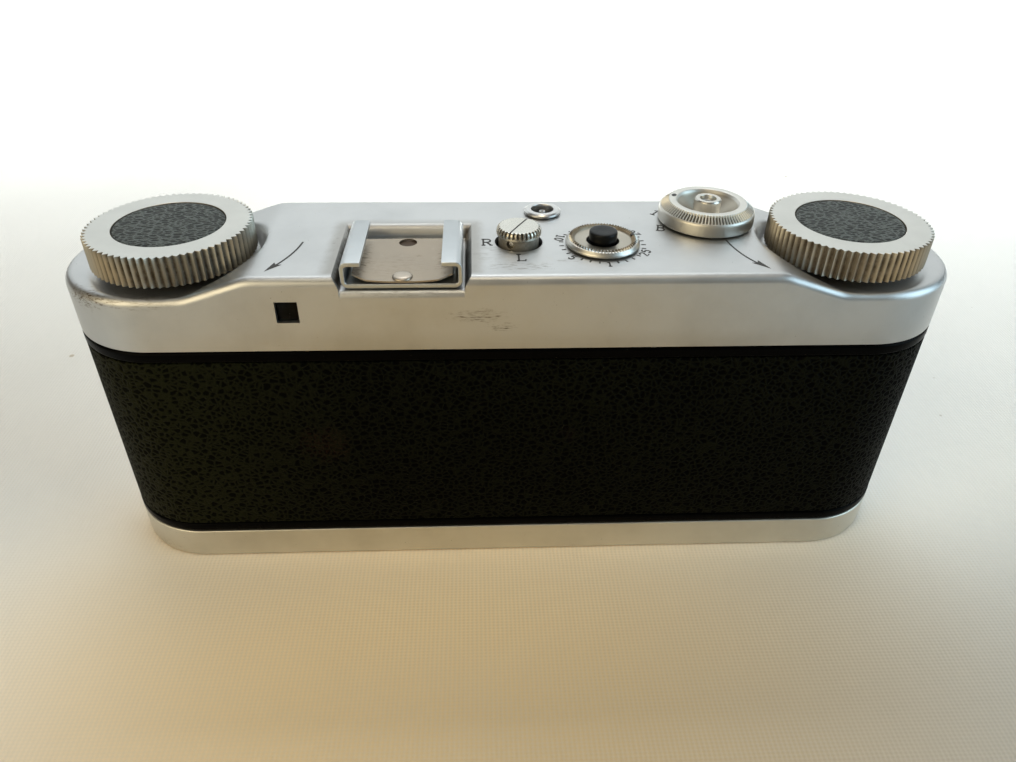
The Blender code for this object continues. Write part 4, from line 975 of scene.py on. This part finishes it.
def channel_bm(line_, thick, y0, y1, edge):
    """Bent strip: a centre line in x and z given thickness, run from y0 to y1."""
    bm = bmesh.new()
    pts = np.array(line_, float)
    d = np.gradient(pts, axis=0)
    d /= np.linalg.norm(d, axis=1)[:, None]
    nrm = np.stack([-d[:, 1], d[:, 0]], 1)
    rings = []
    steps = [(edge * (1 - math.sin(q)), edge * (1 - math.cos(q))) for q in [math.pi / 2 * i / 3 for i in range(4)]]
    lev = [(o, y0 + e) for o, e in steps] + [(o, y1 - e) for o, e in steps[::-1]]
    for o, y in lev:
        a, b = pts + nrm * (thick / 2 - o), pts - nrm * (thick / 2 - o)
        a[0] += d[0] * o
        b[0] += d[0] * o
        a[-1] -= d[-1] * o
        b[-1] -= d[-1] * o
        rings.append([bm.verts.new((sx + x, y, z)) for x, z in list(a) + list(b[::-1])])
    n = len(rings[0])
    for a, b in zip(rings, rings[1:]):
        for i in range(n):
            j = (i + 1) % n
            bm.faces.new((a[i], a[j], b[j], b[i]))
    m = len(pts)
    for r in (rings[0], rings[-1]):
        for i in range(m - 1):
            bm.faces.new((r[i], r[i + 1], r[n - 2 - i], r[n - 1 - i]))
    return bm


finish_bm("shoe_bracket", channel_bm(cl, t, SHOE_LO[1], SHOE_HI[1], 0.16), M_SHOE, BODY_OF["accessory_shoe"], "accessory_shoe", sharp=50)

# leaf spring: bowed plate whose corners curl up beside the rivet
M_LEAF = chrome("leaf_steel", (0.37, 0.315, 0.25), 0.44, 0.012, 0.8, 0.0, dirt_and_shade_spots=[
    ((12.6, 8.0, 63.8), (1.8, 8.0, 2.0), 0.75), ((26.3, 8.0, 63.8), (1.6, 8.0, 2.0), 0.7), ((17.2, 6.5, 63.2), (1.0, 0.5, 1.0), 0.8),
    ((27.0, 13.0, 63.6), (1.8, 2.5, 2.0), 0.6), ((20.5, 10.5, 63.2), (7.0, 6.0, 2.0), 0.18)])
bm = bmesh.new()
nx, ny = 48, 40
ly0, ly1, lh = SHOE_LO[1] + 0.5, SHOE_HI[1] - 0.25, 8.35


def leaf_z(u, v):
    """Height of the spring's top: u across, v along, both -1 to 1."""
    arch = 0.40 + 0.55 * (0.5 + 0.5 * v)
    return zb + t + 0.42 + 0.80 * arch * abs(u) ** 2.4 + 0.10 * (1 - v * v)


grid = {}
for side, dz in ((0, 0.0), (1, -0.28)):
    for i in range(nx + 1):
        u = -1 + 2 * i / nx
        cutback = 1.3 * max(0.0, abs(u) - 0.72) / 0.28
        for j in range(ny + 1):
            v = -1 + 2 * j / ny
            y = (ly0 + ly1) / 2 + v * (ly1 - ly0) / 2
            if v > 0:
                y -= cutback * v
            if v < 0:
                y += 0.9 * (1 - math.cos(u * 1.3)) * -v
            grid[side, i, j] = bm.verts.new((sx + u * lh, y, leaf_z(u, v) + dz))
for side in (0, 1):
    for i in range(nx):
        for j in range(ny):
            bm.faces.new((grid[side, i, j], grid[side, i + 1, j], grid[side, i + 1, j + 1], grid[side, i, j + 1]))
rim = [(i, 0) for i in range(nx)] + [(nx, j) for j in range(ny)] + [(i, ny) for i in range(nx, 0, -1)] + [(0, j) for j in range(ny, 0, -1)]
for (a, b), (c, d) in zip(rim, rim[1:] + rim[:1]):
    bm.faces.new((grid[0, a, b], grid[0, c, d], grid[1, c, d], grid[1, a, b]))
spring = finish_bm("shoe_leaf", bm, M_LEAF, None)
cut(spring, lathe_bm([(0, 66), (1.62, 66), (1.62, 61), (0, 61)], (sx - 0.1, 0.95), 64))
resmooth(spring, 40)
spring.data.materials.clear()
spring.data.materials.append(M_LEAF)
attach(spring, BODY_OF["shoe_spring"])
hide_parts("shoe_spring")
# Dark brown disc on the bracket under the leaf's hole: painted shade in the hole, with brown dirt.
finish_bm("shoe_hole_shade_and_dirt", lathe_bm([(0, zb + t + 0.04), (1.95, zb + t + 0.04), (1.95, zb + t + 0.01), (0, zb + t + 0.01)], (sx - 0.1, 0.95), 40),
          blackened("shoe_hole_shade_dirt", (0.055, 0.032, 0.016)), BODY_OF["accessory_shoe"])
rv = mid("shoe_rivet")[:2]
rz = zb + t + 0.50
finish_bm("shoe_rivet_head", lathe_bm([(0, rz + 0.42), (0.8, rz + 0.40), (1.3, rz + 0.33), (1.62, rz + 0.18), (1.70, rz + 0.04), (1.70, rz - 0.02), (0, rz - 0.02)],
                                      (rv[0], rv[1] + 0.6), 64),
          chrome("rivet_steel", (0.48, 0.42, 0.35), 0.34, 0.01, 0.7, 0.0), BODY_OF["shoe_rivet"], "shoe_rivet")

# ------------------------------------------------------------------ engraved marks
MARKS = bmesh.new()


def stroke(pts, width, z, closed=False, taper=None):
    """Flat stroke of an engraved line, filled with black, on the plate."""
    pts = [np.array(p, float) for p in pts]
    n = len(pts)
    left, right = [], []
    for i, p in enumerate(pts):
        a = pts[i - 1] if (i > 0 or closed) else p
        b = pts[(i + 1) % n] if (i < n - 1 or closed) else p
        d = b - a
        d /= max(np.linalg.norm(d), 1e-9)
        w = width * (taper(i / max(n - 1, 1)) if taper else 1.0) / 2
        q = np.array((-d[1], d[0])) * w
        left.append(p + q)
        right.append(p - q)
    for zz in (z,):
        lo = [MARKS.verts.new((*v, zz - 0.05)) for v in left], [MARKS.verts.new((*v, zz - 0.05)) for v in right]
        hi = [MARKS.verts.new((*v, zz)) for v in left], [MARKS.verts.new((*v, zz)) for v in right]
        rng = range(n if closed else n - 1)
        for i in rng:
            j = (i + 1) % n
            MARKS.faces.new((hi[0][i], hi[0][j], hi[1][j], hi[1][i]))
            MARKS.faces.new((lo[0][j], lo[0][i], lo[1][i], lo[1][j]))
            MARKS.faces.new((hi[0][j], hi[0][i], lo[0][i], lo[0][j]))
            MARKS.faces.new((hi[1][i], hi[1][j], lo[1][j], lo[1][i]))
        if not closed:
            for i in (0, n - 1):
                MARKS.faces.new((hi[0][i], hi[1][i], lo[1][i], lo[0][i]))


def arc(cx, cy, rx, ry, a0, a1, n=14):
    return [(cx + rx * math.cos(math.radians(a0 + (a1 - a0) * i / n)), cy + ry * math.sin(math.radians(a0 + (a1 - a0) * i / n)))
            for i in range(n + 1)]


# plain stroke letters and figures in a box 0.64 wide and 1 high
GLYPH = {
    "0": [arc(0.32, 0.5, 0.27, 0.46, 0, 360, 24)],
    "1": [[(0.12, 0.78), (0.34, 0.97), (0.34, 0.03)], [(0.14, 0.03), (0.54, 0.03)]],
    "2": [arc(0.32, 0.70, 0.26, 0.27, 160, -25, 12) + [(0.06, 0.04), (0.60, 0.04)]],
    "5": [[(0.54, 0.96), (0.14, 0.96), (0.10, 0.56)] + arc(0.30, 0.34, 0.27, 0.30, 130, -150, 16)],
    "R": [[(0.10, 0.97), (0.10, 0.03)], [(0.10, 0.97)] + arc(0.34, 0.73, 0.24, 0.24, 90, -90, 10) + [(0.10, 0.49)],
          [(0.32, 0.49), (0.62, 0.03)], [(-0.02, 0.03), (0.24, 0.03)], [(-0.02, 0.97), (0.14, 0.97)], [(0.52, 0.03), (0.74, 0.03)]],
    "L": [[(0.14, 0.97), (0.14, 0.03), (0.58, 0.03), (0.60, 0.22)], [(0.0, 0.97), (0.30, 0.97)], [(0.0, 0.03), (0.2, 0.03)]],
    "B": [[(0.12, 0.97), (0.12, 0.03)], [(0.0, 0.97)] + arc(0.34, 0.75, 0.20, 0.22, 90, -90, 10) + [(0.12, 0.53)],
          [(0.12, 0.53)] + arc(0.36, 0.28, 0.24, 0.25, 90, -90, 10) + [(0.0, 0.03)]],
}


def write(text, x, y, height, angle, width=0.33, gap=0.22, z=None, squeeze=1.0):
    """Text centred at x, y; angle is the way its upright points, degrees."""
    z = PLATE + 0.03 if z is None else z
    adv = 0.64 + gap
    total = adv * len(text) - gap
    ua = math.radians(angle)
    up = np.array((math.cos(ua), math.sin(ua)))
    right = np.array((up[1], -up[0]))
    for k, ch in enumerate(text):
        for line_ in GLYPH[ch]:
            pts = [np.array((x, y)) + right * ((px + adv * k - total / 2) * height * squeeze) + up * ((py - 0.5) * height) for px, py in line_]
            closed = ch == "0"
            stroke(pts[:-1] if closed else pts, width, z, closed)


PZ = PLATE + 0.03
# film counter scale: 29 divisions, figures every five
for k in range(29):
    a = math.radians(91.0 - k * 360 / 29)
    major = (k + 1) % 5 == 0 or k == 0
    if major:
        continue
    c, s = math.cos(a), math.sin(a)
    stroke([(COUNT[0] + 6.95 * c, COUNT[1] + 6.95 * s), (COUNT[0] + 7.75 * c, COUNT[1] + 7.75 * s)], 0.30, PZ)
for k, txt in ((0, "1"), (4, "5"), (9, "10"), (14, "15"), (19, "20"), (24, "25")):
    deg = 91.0 - k * 360 / 29
    a = math.radians(deg)
    write(txt, COUNT[0] + 7.85 * math.cos(a), COUNT[1] + 7.85 * math.sin(a), 1.65, deg + 180, 0.29, 0.20, squeeze=0.95)
# speed marks
for k, txt in enumerate(("B", "1", "2", "5", "10")):
    deg = 19.5 - 44.1 * k
    a = math.radians(deg)
    far = 9.85 if k == 0 else 9.5
    write(txt, DIAL[0] + far * math.cos(a + 0.03), DIAL[1] + far * math.sin(a + 0.03), 2.5, 256 + (deg - 19.5) * 0.6, 0.32, 0.22, squeeze=1.0)
# selector letters, upright for a viewer behind the camera
write("R", SEL[0] + 5.75, SEL[1] + 0.35, 2.6, 270, 0.34, squeeze=1.0)
write("L", SEL[0] - 0.15, SEL[1] + 6.55, 2.6, 270, 0.34, squeeze=1.0)
# turning arrows by the big knobs
for pts3, flip in ((((37.68, 2.49), (39.18, 8.44), (42.08, 13.77)), 1), (((-38.1, 2.64), (-39.65, 9.18), (-42.69, 13.99)), -1)):
    (ax, ay), (bx, by), (cx_, cy_) = pts3
    n = 18
    curve = []
    for i in range(n + 1):
        q = i / n
        # parabola through the three points
        l0, l1_, l2 = (q - 0.5) * (q - 1) * 2, -4 * q * (q - 1), 2 * q * (q - 0.5)
        curve.append((ax * l0 + bx * l1_ + cx_ * l2, ay * l0 + by * l1_ + cy_ * l2))
    body_pts = [p for i, p in enumerate(curve) if i <= n * 0.80]
    stroke(body_pts, 0.32, PZ)
    tip = np.array(curve[-1])
    d = tip - np.array(curve[int(n * 0.72)])
    L = np.linalg.norm(d)
    d /= L
    q = np.array((-d[1], d[0]))
    base_ = tip - d * 3.3
    head = [tip, base_ + q * 0.78, base_ + d * 0.55, base_ - q * 0.78]
    lo = [MARKS.verts.new((*v, PZ - 0.05)) for v in head]
    hi = [MARKS.verts.new((*v, PZ)) for v in head]
    MARKS.faces.new(hi)
    MARKS.faces.new(lo[::-1])
    for i in range(4):
        j = (i + 1) % 4
        MARKS.faces.new((hi[i], hi[j], lo[j], lo[i]))
# drop the marks onto the roof where it slopes away
for v in MARKS.verts:
    v.co.z += float(roof(np.array([v.co.x]), np.array([v.co.y]))[0]) - PLATE
finish_bm("plate_marks", MARKS, M_INK, BODY_OF["top_cover"], smooth=False)

# index marks: on the speed dial and on the counter ring
bm = bmesh.new()
ia = math.radians(-26.2)
ic = np.array(DIAL) + 6.42 * np.array((math.cos(ia), math.sin(ia)))
tdir = np.array((-math.sin(ia), math.cos(ia)))
rdir = np.array((math.cos(ia), math.sin(ia)))
oval = [tuple(ic + tdir * 0.70 * math.cos(q) * 1.0 + rdir * 0.46 * math.sin(q)) for q in [math.tau * i / 28 for i in range(28)]]
prism_bm(oval, RIM - 0.03, RIM + 0.012, bm=bm)
finish_bm("dial_index", bm, M_INK, BODY_OF["speed_dial"], smooth=False)
ci = math.atan2(3.26 - COUNT[1], -20.92 - COUNT[0])
cc = np.array(COUNT) + 5.42 * np.array((math.cos(ci), math.sin(ci)))
bm = lathe_bm([(0, cz1 + 0.03), (0.30, cz1 + 0.03), (0.36, cz1 - 0.02), (0.36, cz1 - 0.35), (0, cz1 - 0.35)], tuple(cc), 24)
finish_bm("counter_index", bm, M_INK, BODY_OF["counter_ring"])

# ------------------------------------------------------------------ finder
e0, e1 = span("finder_eye_glass")
bm = bmesh.new()
gw, gh, gn = (e1[0] - e0[0]) / 2, (e1[2] - e0[2]) / 2, 10
gx, gz = (e0[0] + e1[0]) / 2, (e0[2] + e1[2]) / 2
for nm, (q0, q1), bul in (("eye", (e0, e1), 0.35),):
    front, back = {}, {}
    for i in range(gn + 1):
        for j in range(gn + 1):
            u, v = -1 + 2 * i / gn, -1 + 2 * j / gn
            front[i, j] = bm.verts.new((gx + u * gw, q1[1] - bul * (u * u + v * v) / 2, gz + v * gh))
            back[i, j] = bm.verts.new((gx + u * gw, q0[1], gz + v * gh))
    for i in range(gn):
        for j in range(gn):
            bm.faces.new((front[i, j], front[i + 1, j], front[i + 1, j + 1], front[i, j + 1]))
            bm.faces.new((back[i, j], back[i, j + 1], back[i + 1, j + 1], back[i + 1, j]))
    edge = [(i, 0) for i in range(gn)] + [(gn, j) for j in range(gn)] + [(i, gn) for i in range(gn, 0, -1)] + [(0, j) for j in range(gn, 0, -1)]
    for a, b in zip(edge, edge[1:] + edge[:1]):
        bm.faces.new((front[a], back[a], back[b], front[b]))
finish_bm("eyepiece_lens", bm, M_EYE, BODY_OF["finder_eye_glass"], "finder_eye_glass")
f0, f1 = span("finder_front_glass")
finish_bm("finder_lens", prism_bm(fillet([(f0[0], f0[2]), (f1[0], f0[2]), (f1[0], f1[2]), (f0[0], f1[2])], 0.4, 4, True), -f1[1], -f0[1], 0.15, 3,
                                  place=lambda x, y, z: (x, -z, y)), M_EYE, BODY_OF["finder_front_glass"], "finder_front_glass")
b0, b1 = span("finder_bezel")
bez = finish_bm("finder_frame", prism_bm(fillet([(b0[0], b0[2]), (b1[0], b0[2]), (b1[0], b1[2]), (b0[0], b1[2])], 0.35, 5, True), -b1[1], -b0[1], 0.18, 3,
                                         place=lambda x, y, z: (x, -z, y)), M_BRIGHT, None)
w = 0.8
cut(bez, prism_bm(fillet([(b0[0] + w, b0[2] + w), (b1[0] - w, b0[2] + w), (b1[0] - w, b1[2] - w), (b0[0] + w, b1[2] - w)], 0.5, 5, True), 10, 20,
                  place=lambda x, y, z: (x, -z, y)))
resmooth(bez)
bez.data.materials.clear()
bez.data.materials.append(M_BRIGHT)
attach(bez, BODY_OF["finder_bezel"])
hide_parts("finder_bezel")

# ------------------------------------------------------------------ lens panel
panel = finish_bm("panel_plate", prism_bm(panel_out, -ph[1], -pl[1], 0.35, 4, place=lambda x, y, z: (x, -z, y + pcz)), M_PANEL, None)
for x in (LX, -LX):
    cut(panel, lathe_bm([(0, 15.0), (12.4, 15.0), (12.4, 25.0), (0, 25.0)], (x, LZ), 128, axis="Y"))
for k in range(1, 5):
    c = mid("panel_screw_%d" % k)
    cut(panel, lathe_bm([(0, 17.35), (1.95, 17.35), (2.0, 18.15), (2.25, 18.4), (2.4, 19), (0, 19)], (c[0], c[2]), 48, axis="Y"))
    q0, q1 = span("panel_screw_%d" % k)
    d0, d1 = -q1[1], -q0[1]
    scw = finish_bm("screw_head_%d" % k, lathe_bm(fillet([(0, d1), (1.1, d1 - 0.03), (1.7, d1 - 0.3), (1.7, d0), (0, d0)], [0, 0.8, 0.2, 0.1, 0], 4),
                                                  (c[0], c[2]), 48, axis="Y"), M_BRIGHT, None)
    ang = math.radians((37, 118, 64, 155)[k - 1])
    dx, dz_ = math.cos(ang), math.sin(ang)
    ex, ez = -dz_, dx
    cut(scw, prism_bm([(c[0] + dx * a + ex * b, c[2] + dz_ * a + ez * b) for a, b in ((-2.5, -0.17), (2.5, -0.17), (2.5, 0.17), (-2.5, 0.17))],
                      d1 - 0.32, d1 + 1, place=lambda x, y, z: (x, -z, y)))
    resmooth(scw)
    scw.data.materials.clear()
    scw.data.materials.append(M_BRIGHT)
    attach(scw, BODY_OF["panel_screw_%d" % k])
    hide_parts("panel_screw_%d" % k)
resmooth(panel, 30)
panel.data.materials.clear()
panel.data.materials.append(M_PANEL)
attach(panel, BODY_OF["lens_panel"])
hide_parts("lens_panel")

# ------------------------------------------------------------------ lens units
for side, x in (("left", LX), ("right", -LX)):
    at = (x, LZ)
    m_bar = turned_metal("barrel_chrome_" + side, (0.80, 0.80, 0.79), 0.26, (x, 0, LZ), "Y", 2.2)
    prof = fillet([(7.6, 14.4), (12.0, 14.4), (12.0, 18.6), (13.8, 18.6), (13.8, 19.6), (12.0, 19.6), (12.0, 28.85), (11.6, 29.4), (10.9, 29.4)],
                  [0.1, 0.1, 0.1, 0.2, 0.2, 0.1, 0.15, 0.1, 0.1], 4)
    inner_steps = []
    for i in range(7):
        q = i / 6
        rr = 10.9 - 2.6 * q
        inner_steps += [(rr, 29.2 - 2.9 * q), (rr, 29.0 - 2.9 * q)]
    prof = prof[::1] + inner_steps + [(7.6, 26.0)]
    finish_bm("barrel_" + side, lathe_bm(prof, at, 160, closed=True, axis="Y"), m_bar, BODY_OF["lens_barrel_" + side], "lens_barrel_" + side, sharp=30)
    m_ring = toothed_chrome("focus_chrome_" + side, (0, 0), 1, 2, amount=0.0, tint=(0.78, 0.78, 0.77), rough=0.3)

    def grip(a, r, h):
        if r > 14.0 and 20.35 < h < 24.65:
            tt = (a / math.tau * 60) % 1.0
            return r - (0.42 if abs(tt - 0.5) < 0.24 else 0.42 * max(0.0, 1 - (abs(tt - 0.5) - 0.24) / 0.05))
        return r
    fprof = [(12.3, 19.95), (12.35, 19.9), (14.3, 19.9), (14.5, 20.0), (14.58, 20.15), (14.58, 20.32), (14.58, 20.4), (14.58, 22.0), (14.58, 24.6),
             (14.58, 24.68), (14.58, 24.85), (14.5, 25.0), (14.3, 25.1), (12.35, 25.1), (12.3, 25.05)]
    finish_bm("focus_grip_" + side, lathe_bm(fprof, at, 60 * 12, closed=True, shape=grip, axis="Y"), m_ring, BODY_OF["focus_ring_" + side], "focus_ring_" + side, sharp=30)

    def fine(a, r, h):
        if r > 13.2 and 25.75 < h < 27.2:
            return r - 0.16 * tri(a, 110)
        return r
    aprof = [(12.3, 25.45), (12.36, 25.4), (13.35, 25.4), (13.48, 25.5), (13.5, 25.7), (13.5, 25.78), (13.5, 26.5), (13.5, 27.16), (13.5, 27.24),
             (13.48, 27.6), (13.42, 27.95), (13.2, 28.3), (13.0, 28.4), (12.36, 28.4), (12.3, 28.34)]
    finish_bm("aperture_grip_" + side, lathe_bm(aprof, at, 110 * 6, closed=True, shape=fine, axis="Y"),
              turned_metal("aperture_chrome_" + side, (0.84, 0.84, 0.83), 0.18, (x, 0, LZ), "Y"), BODY_OF["aperture_ring_" + side], "aperture_ring_" + side, sharp=30)
    # the front and rear glasses
    arcp = [(7.3 * math.sin(q), 22.6 + 0.0) for q in ()]
    n = 16
    sag_f, sag_b, rg = 1.6, 0.5, 7.3
    front_ = [(rg * i / n, 25.5 - sag_f * (i / n) ** 2) for i in range(n + 1)]
    back_ = [(rg * i / n, 22.3 + sag_b * (i / n) ** 2) for i in range(n, -1, -1)]
    finish_bm("front_lens_" + side, lathe_bm(front_ + back_, at, 96, axis="Y"), M_GLASS, BODY_OF["front_glass_" + side], "front_glass_" + side)
    front_ = [(rg * i / n, 17.3 - 0.3 * (i / n) ** 2) for i in range(n + 1)]
    back_ = [(rg * i / n, 15.0 + 0.9 * (i / n) ** 2) for i in range(n, -1, -1)]
    finish_bm("rear_lens_" + side, lathe_bm(front_ + back_, at, 96, axis="Y"), M_GLASS, BODY_OF["rear_glass_" + side], "rear_glass_" + side)
    # iris: ten overlapping leaves round a polygon opening
    bm = bmesh.new()
    for k in range(10):
        a0 = math.tau * k / 10
        pts = []
        for i in range(9):
            a = a0 + math.radians(52) * i / 8
            pts.append((x + 7.25 * math.cos(a), LZ + 7.25 * math.sin(a)))
        for i in range(8, -1, -1):
            a = a0 + math.radians(52) * i / 8
            rr_ = 3.25 / max(0.75, math.cos((i / 8 - 0.35) * math.radians(40)))
            pts.append((x + rr_ * math.cos(a), LZ + rr_ * math.sin(a)))
        prism_bm(pts, 20.5 + 0.035 * k, 20.53 + 0.035 * k, bm=bm, place=lambda a, b, c: (a, -c, b))
    finish_bm("iris_leaves_" + side, bm, M_BLACK, BODY_OF["iris_" + side], "iris_" + side, smooth=False)
    bm = bmesh.new()
    for k in range(5):
        a0 = math.tau * k / 5
        pts = [(x, LZ)]
        for i in range(13):
            a = a0 + math.radians(78) * i / 12
            pts.append((x + 7.25 * math.cos(a), LZ + 7.25 * math.sin(a)))
        prism_bm(pts, 18.8 + 0.07 * k, 18.85 + 0.07 * k, bm=bm, place=lambda a, b, c: (a, -c, b))
    finish_bm("shutter_leaves_" + side, bm, M_BLACK, BODY_OF["shutter_blades_" + side], "shutter_blades_" + side, smooth=False)

# ------------------------------------------------------------------ works inside
for node in ("film_gate", "pressure_plate", "finder_tube", "light_tunnel_left", "light_tunnel_right", "takeup_spool"):
    ob = NODES[node]
    ob.data.materials.clear()
    ob.data.materials.append(M_BLACK)
for node, at in (("wind_gear", (-KX, KY, 0)), ("sprocket_gear", (*SPK, 0))):
    NODES[node].data.materials.clear()
    NODES[node].data.materials.append(turned_metal(node + "_brass", (0.78, 0.58, 0.27), 0.32, at))
NODES["sprocket"].data.materials.clear()
NODES["sprocket"].data.materials.append(turned_metal("sprocket_steel", (0.62, 0.61, 0.6), 0.3, (*SPK, 0)))
NODES["pressure_spring"].data.materials.clear()
NODES["pressure_spring"].data.materials.append(M_STEEL)
for node in ("film_gate", "pressure_plate"):
    bv = NODES[node].modifiers.new("edge", "BEVEL")
    bv.width, bv.segments, bv.limit_method = 0.0002, 2, "ANGLE"

# ------------------------------------------------------------------ floor, lights, camera
def floor_material():
    s = Shader("floor_cloth")
    wv = s.node("ShaderNodeTexWave", {"Vector": s.mm, "Scale": 0.385, "Distortion": 0.5, "Detail": 2.0}, bands_direction="X").outputs[1]
    wh = s.node("ShaderNodeTexWave", {"Vector": s.mm, "Scale": 0.46, "Distortion": 0.5, "Detail": 2.0}, bands_direction="Y").outputs[1]
    weave = s.math("ADD", s.math("MULTIPLY", wv, 0.62), s.math("MULTIPLY", wh, 0.38))
    big = s.noise(0.012, 4, 0.6)
    base = s.ramp(big, [(0.35, (0.775, 0.775, 0.755)), (0.65, (0.815, 0.815, 0.795))])
    fx, fy, _ = s.xyz()[:3]
    # Painted warm light: a warm pool on the floor in front of the body, centred near x = 15 mm.
    dx = s.math("MULTIPLY", s.math("SUBTRACT", fx, 15.0), 1 / 95.0)
    dy = s.math("MULTIPLY", s.math("SUBTRACT", s.math("MINIMUM", fy, 50.0), 50.0), 1 / 55.0)
    q = s.math("SQRT", s.math("ADD", s.math("MULTIPLY", dx, dx), s.math("MULTIPLY", dy, dy)))
    base = s.mix(s.step(q, 1.45, 0.2), base, (0.97, 0.725, 0.42))
    shade = s.step(s.math("SUBTRACT", fy, s.math("MULTIPLY", fx, 0.284)), 18.8, 88.0)
    shade = s.math("MULTIPLY", shade, s.step(fy, 125.0, 80.0))
    base = s.mix(s.math("MULTIPLY", shade, 0.47), base, (0.10, 0.09, 0.08))
    # Painted shade: the floor beyond x = 55 mm on the +X side, from y = 45 mm backwards, is drawn darker.
    left = s.math("MULTIPLY", s.step(fx, 55.0, 125.0), s.step(fy, 45.0, -5.0))
    base = s.mix(s.math("MULTIPLY", left, 0.20), base, (0.10, 0.10, 0.11))
    base = s.mix(s.math("MULTIPLY", s.step(weave, 0.15, 0.85), 0.22), base, (0.66, 0.61, 0.52))
    crumb = s.math("MULTIPLY", s.step(s.voronoi(0.035), 0.030, 0.018), s.step(s.noise(0.03, 2), 0.42, 0.5))
    base = s.mix(s.math("MULTIPLY", crumb, 0.75), base, (0.36, 0.30, 0.22))
    lint = s.math("MULTIPLY", s.step(s.voronoi(0.09), 0.05, 0.02), s.step(s.noise(0.05, 2), 0.5, 0.6))
    base = s.mix(s.math("MULTIPLY", lint, 0.7), base, (0.45, 0.40, 0.34))
    s.set(Base_Color=base, Roughness=0.85, Specular_IOR_Level=0.2)
    s.set(Normal=s.bump(add(s, weave, s.math("MULTIPLY", big, 6.0)), 0.12, 0.5))
    return s.mat


bpy.ops.mesh.primitive_grid_add(x_subdivisions=80, y_subdivisions=80, size=6.0, location=(0, 0, 0))
floor = bpy.context.object
floor.name = "floor"
for v in floor.data.vertices:
    v.co.z = -0.0001
    back = max(0.0, -v.co.y - 1.6)
    v.co.z += 0.5 * back * back
floor.data.shade_smooth()
floor.data.materials.append(floor_material())


def area(name, loc, target, size, power, colour=(1, 1, 1), size_y=None):
    l = bpy.data.lights.new(name, "AREA")
    l.shape = "RECTANGLE"
    l.size, l.size_y = size, size_y or size
    l.energy, l.color = power, colour
    o = bpy.data.objects.new(name, l)
    bpy.context.scene.collection.objects.link(o)
    o.location = loc
    o.rotation_euler = (Vector(target) - Vector(loc)).to_track_quat("-Z", "Y").to_euler()
    return o


area("window", (-0.05, -0.80, 0.52), (0, 0.02, 0.0), 2.6, 7.0, (0.91, 0.985, 1.0), 0.9)
area("window_high", (0.0, -0.35, 1.5), (0, 0, 0.03), 1.6, 3.4, (0.94, 0.98, 1.0))
area("room_left", (0.75, 0.75, 0.55), (0, 0, 0.03), 0.9, 6.3, (1.0, 0.84, 0.54))
area("room_front", (0.1, 1.1, 0.60), (0, 0, 0.03), 1.0, 0.4, (1.0, 0.84, 0.60))
front = area("front_high", (0.02, 0.18, 1.0), (0.0, 0.045, 0.0), 0.3, 0.058, (1.0, 0.85, 0.60))
front.data.spread = math.radians(36)
area("right_fill", (-0.95, 0.30, 0.45), (0, 0, 0.03), 0.8, 6.2, (0.62, 0.86, 1.0))
back = area("backdrop_wash", (0.0, -0.95, 1.0), (0.0, -0.95, 0.0), 1.6, 30.0, (0.97, 1.0, 1.0), 0.8)
back.data.spread = math.radians(78)
world = bpy.data.worlds.new("studio")
bpy.context.scene.world = world
world.use_nodes = True
wn = world.node_tree.nodes["Background"]
wn.inputs[0].default_value = (1.0, 0.93, 0.82, 1)
wn.inputs[1].default_value = 0.10

cam = bpy.data.cameras.new("camera")
cam.sensor_fit = "HORIZONTAL"
cam.sensor_width = 36.0
cam.lens = 773.0 / 1016 * 36.0
cam.clip_start, cam.clip_end = 0.005, 50
yaw, pitch, roll = 0.0498, 0.6136, 0.0158
fw = Vector((math.sin(yaw) * math.cos(pitch), math.cos(yaw) * math.cos(pitch), -math.sin(pitch)))
r0 = Vector((math.cos(yaw), -math.sin(yaw), 0))
u0 = r0.cross(fw)
right = r0 * math.cos(roll) + u0 * math.sin(roll)
up = -r0 * math.sin(roll) + u0 * math.cos(roll)
turn = Matrix(((-1, 0, 0), (0, -1, 0), (0, 0, 1)))
fw, right, up = turn @ fw, turn @ right, turn @ up
co = bpy.data.objects.new("camera", cam)
bpy.context.scene.collection.objects.link(co)
rot = Matrix((right, up, -fw)).transposed().to_4x4()
co.matrix_world = Matrix.Translation((0.007311, 0.129860, 0.123181)) @ rot
bpy.context.scene.camera = co
bpy.context.scene.view_settings.view_transform = "Standard"
bpy.context.scene.view_settings.look = "None"
bpy.context.scene.view_settings.exposure = 0.0

bpy.context.view_layer.update()
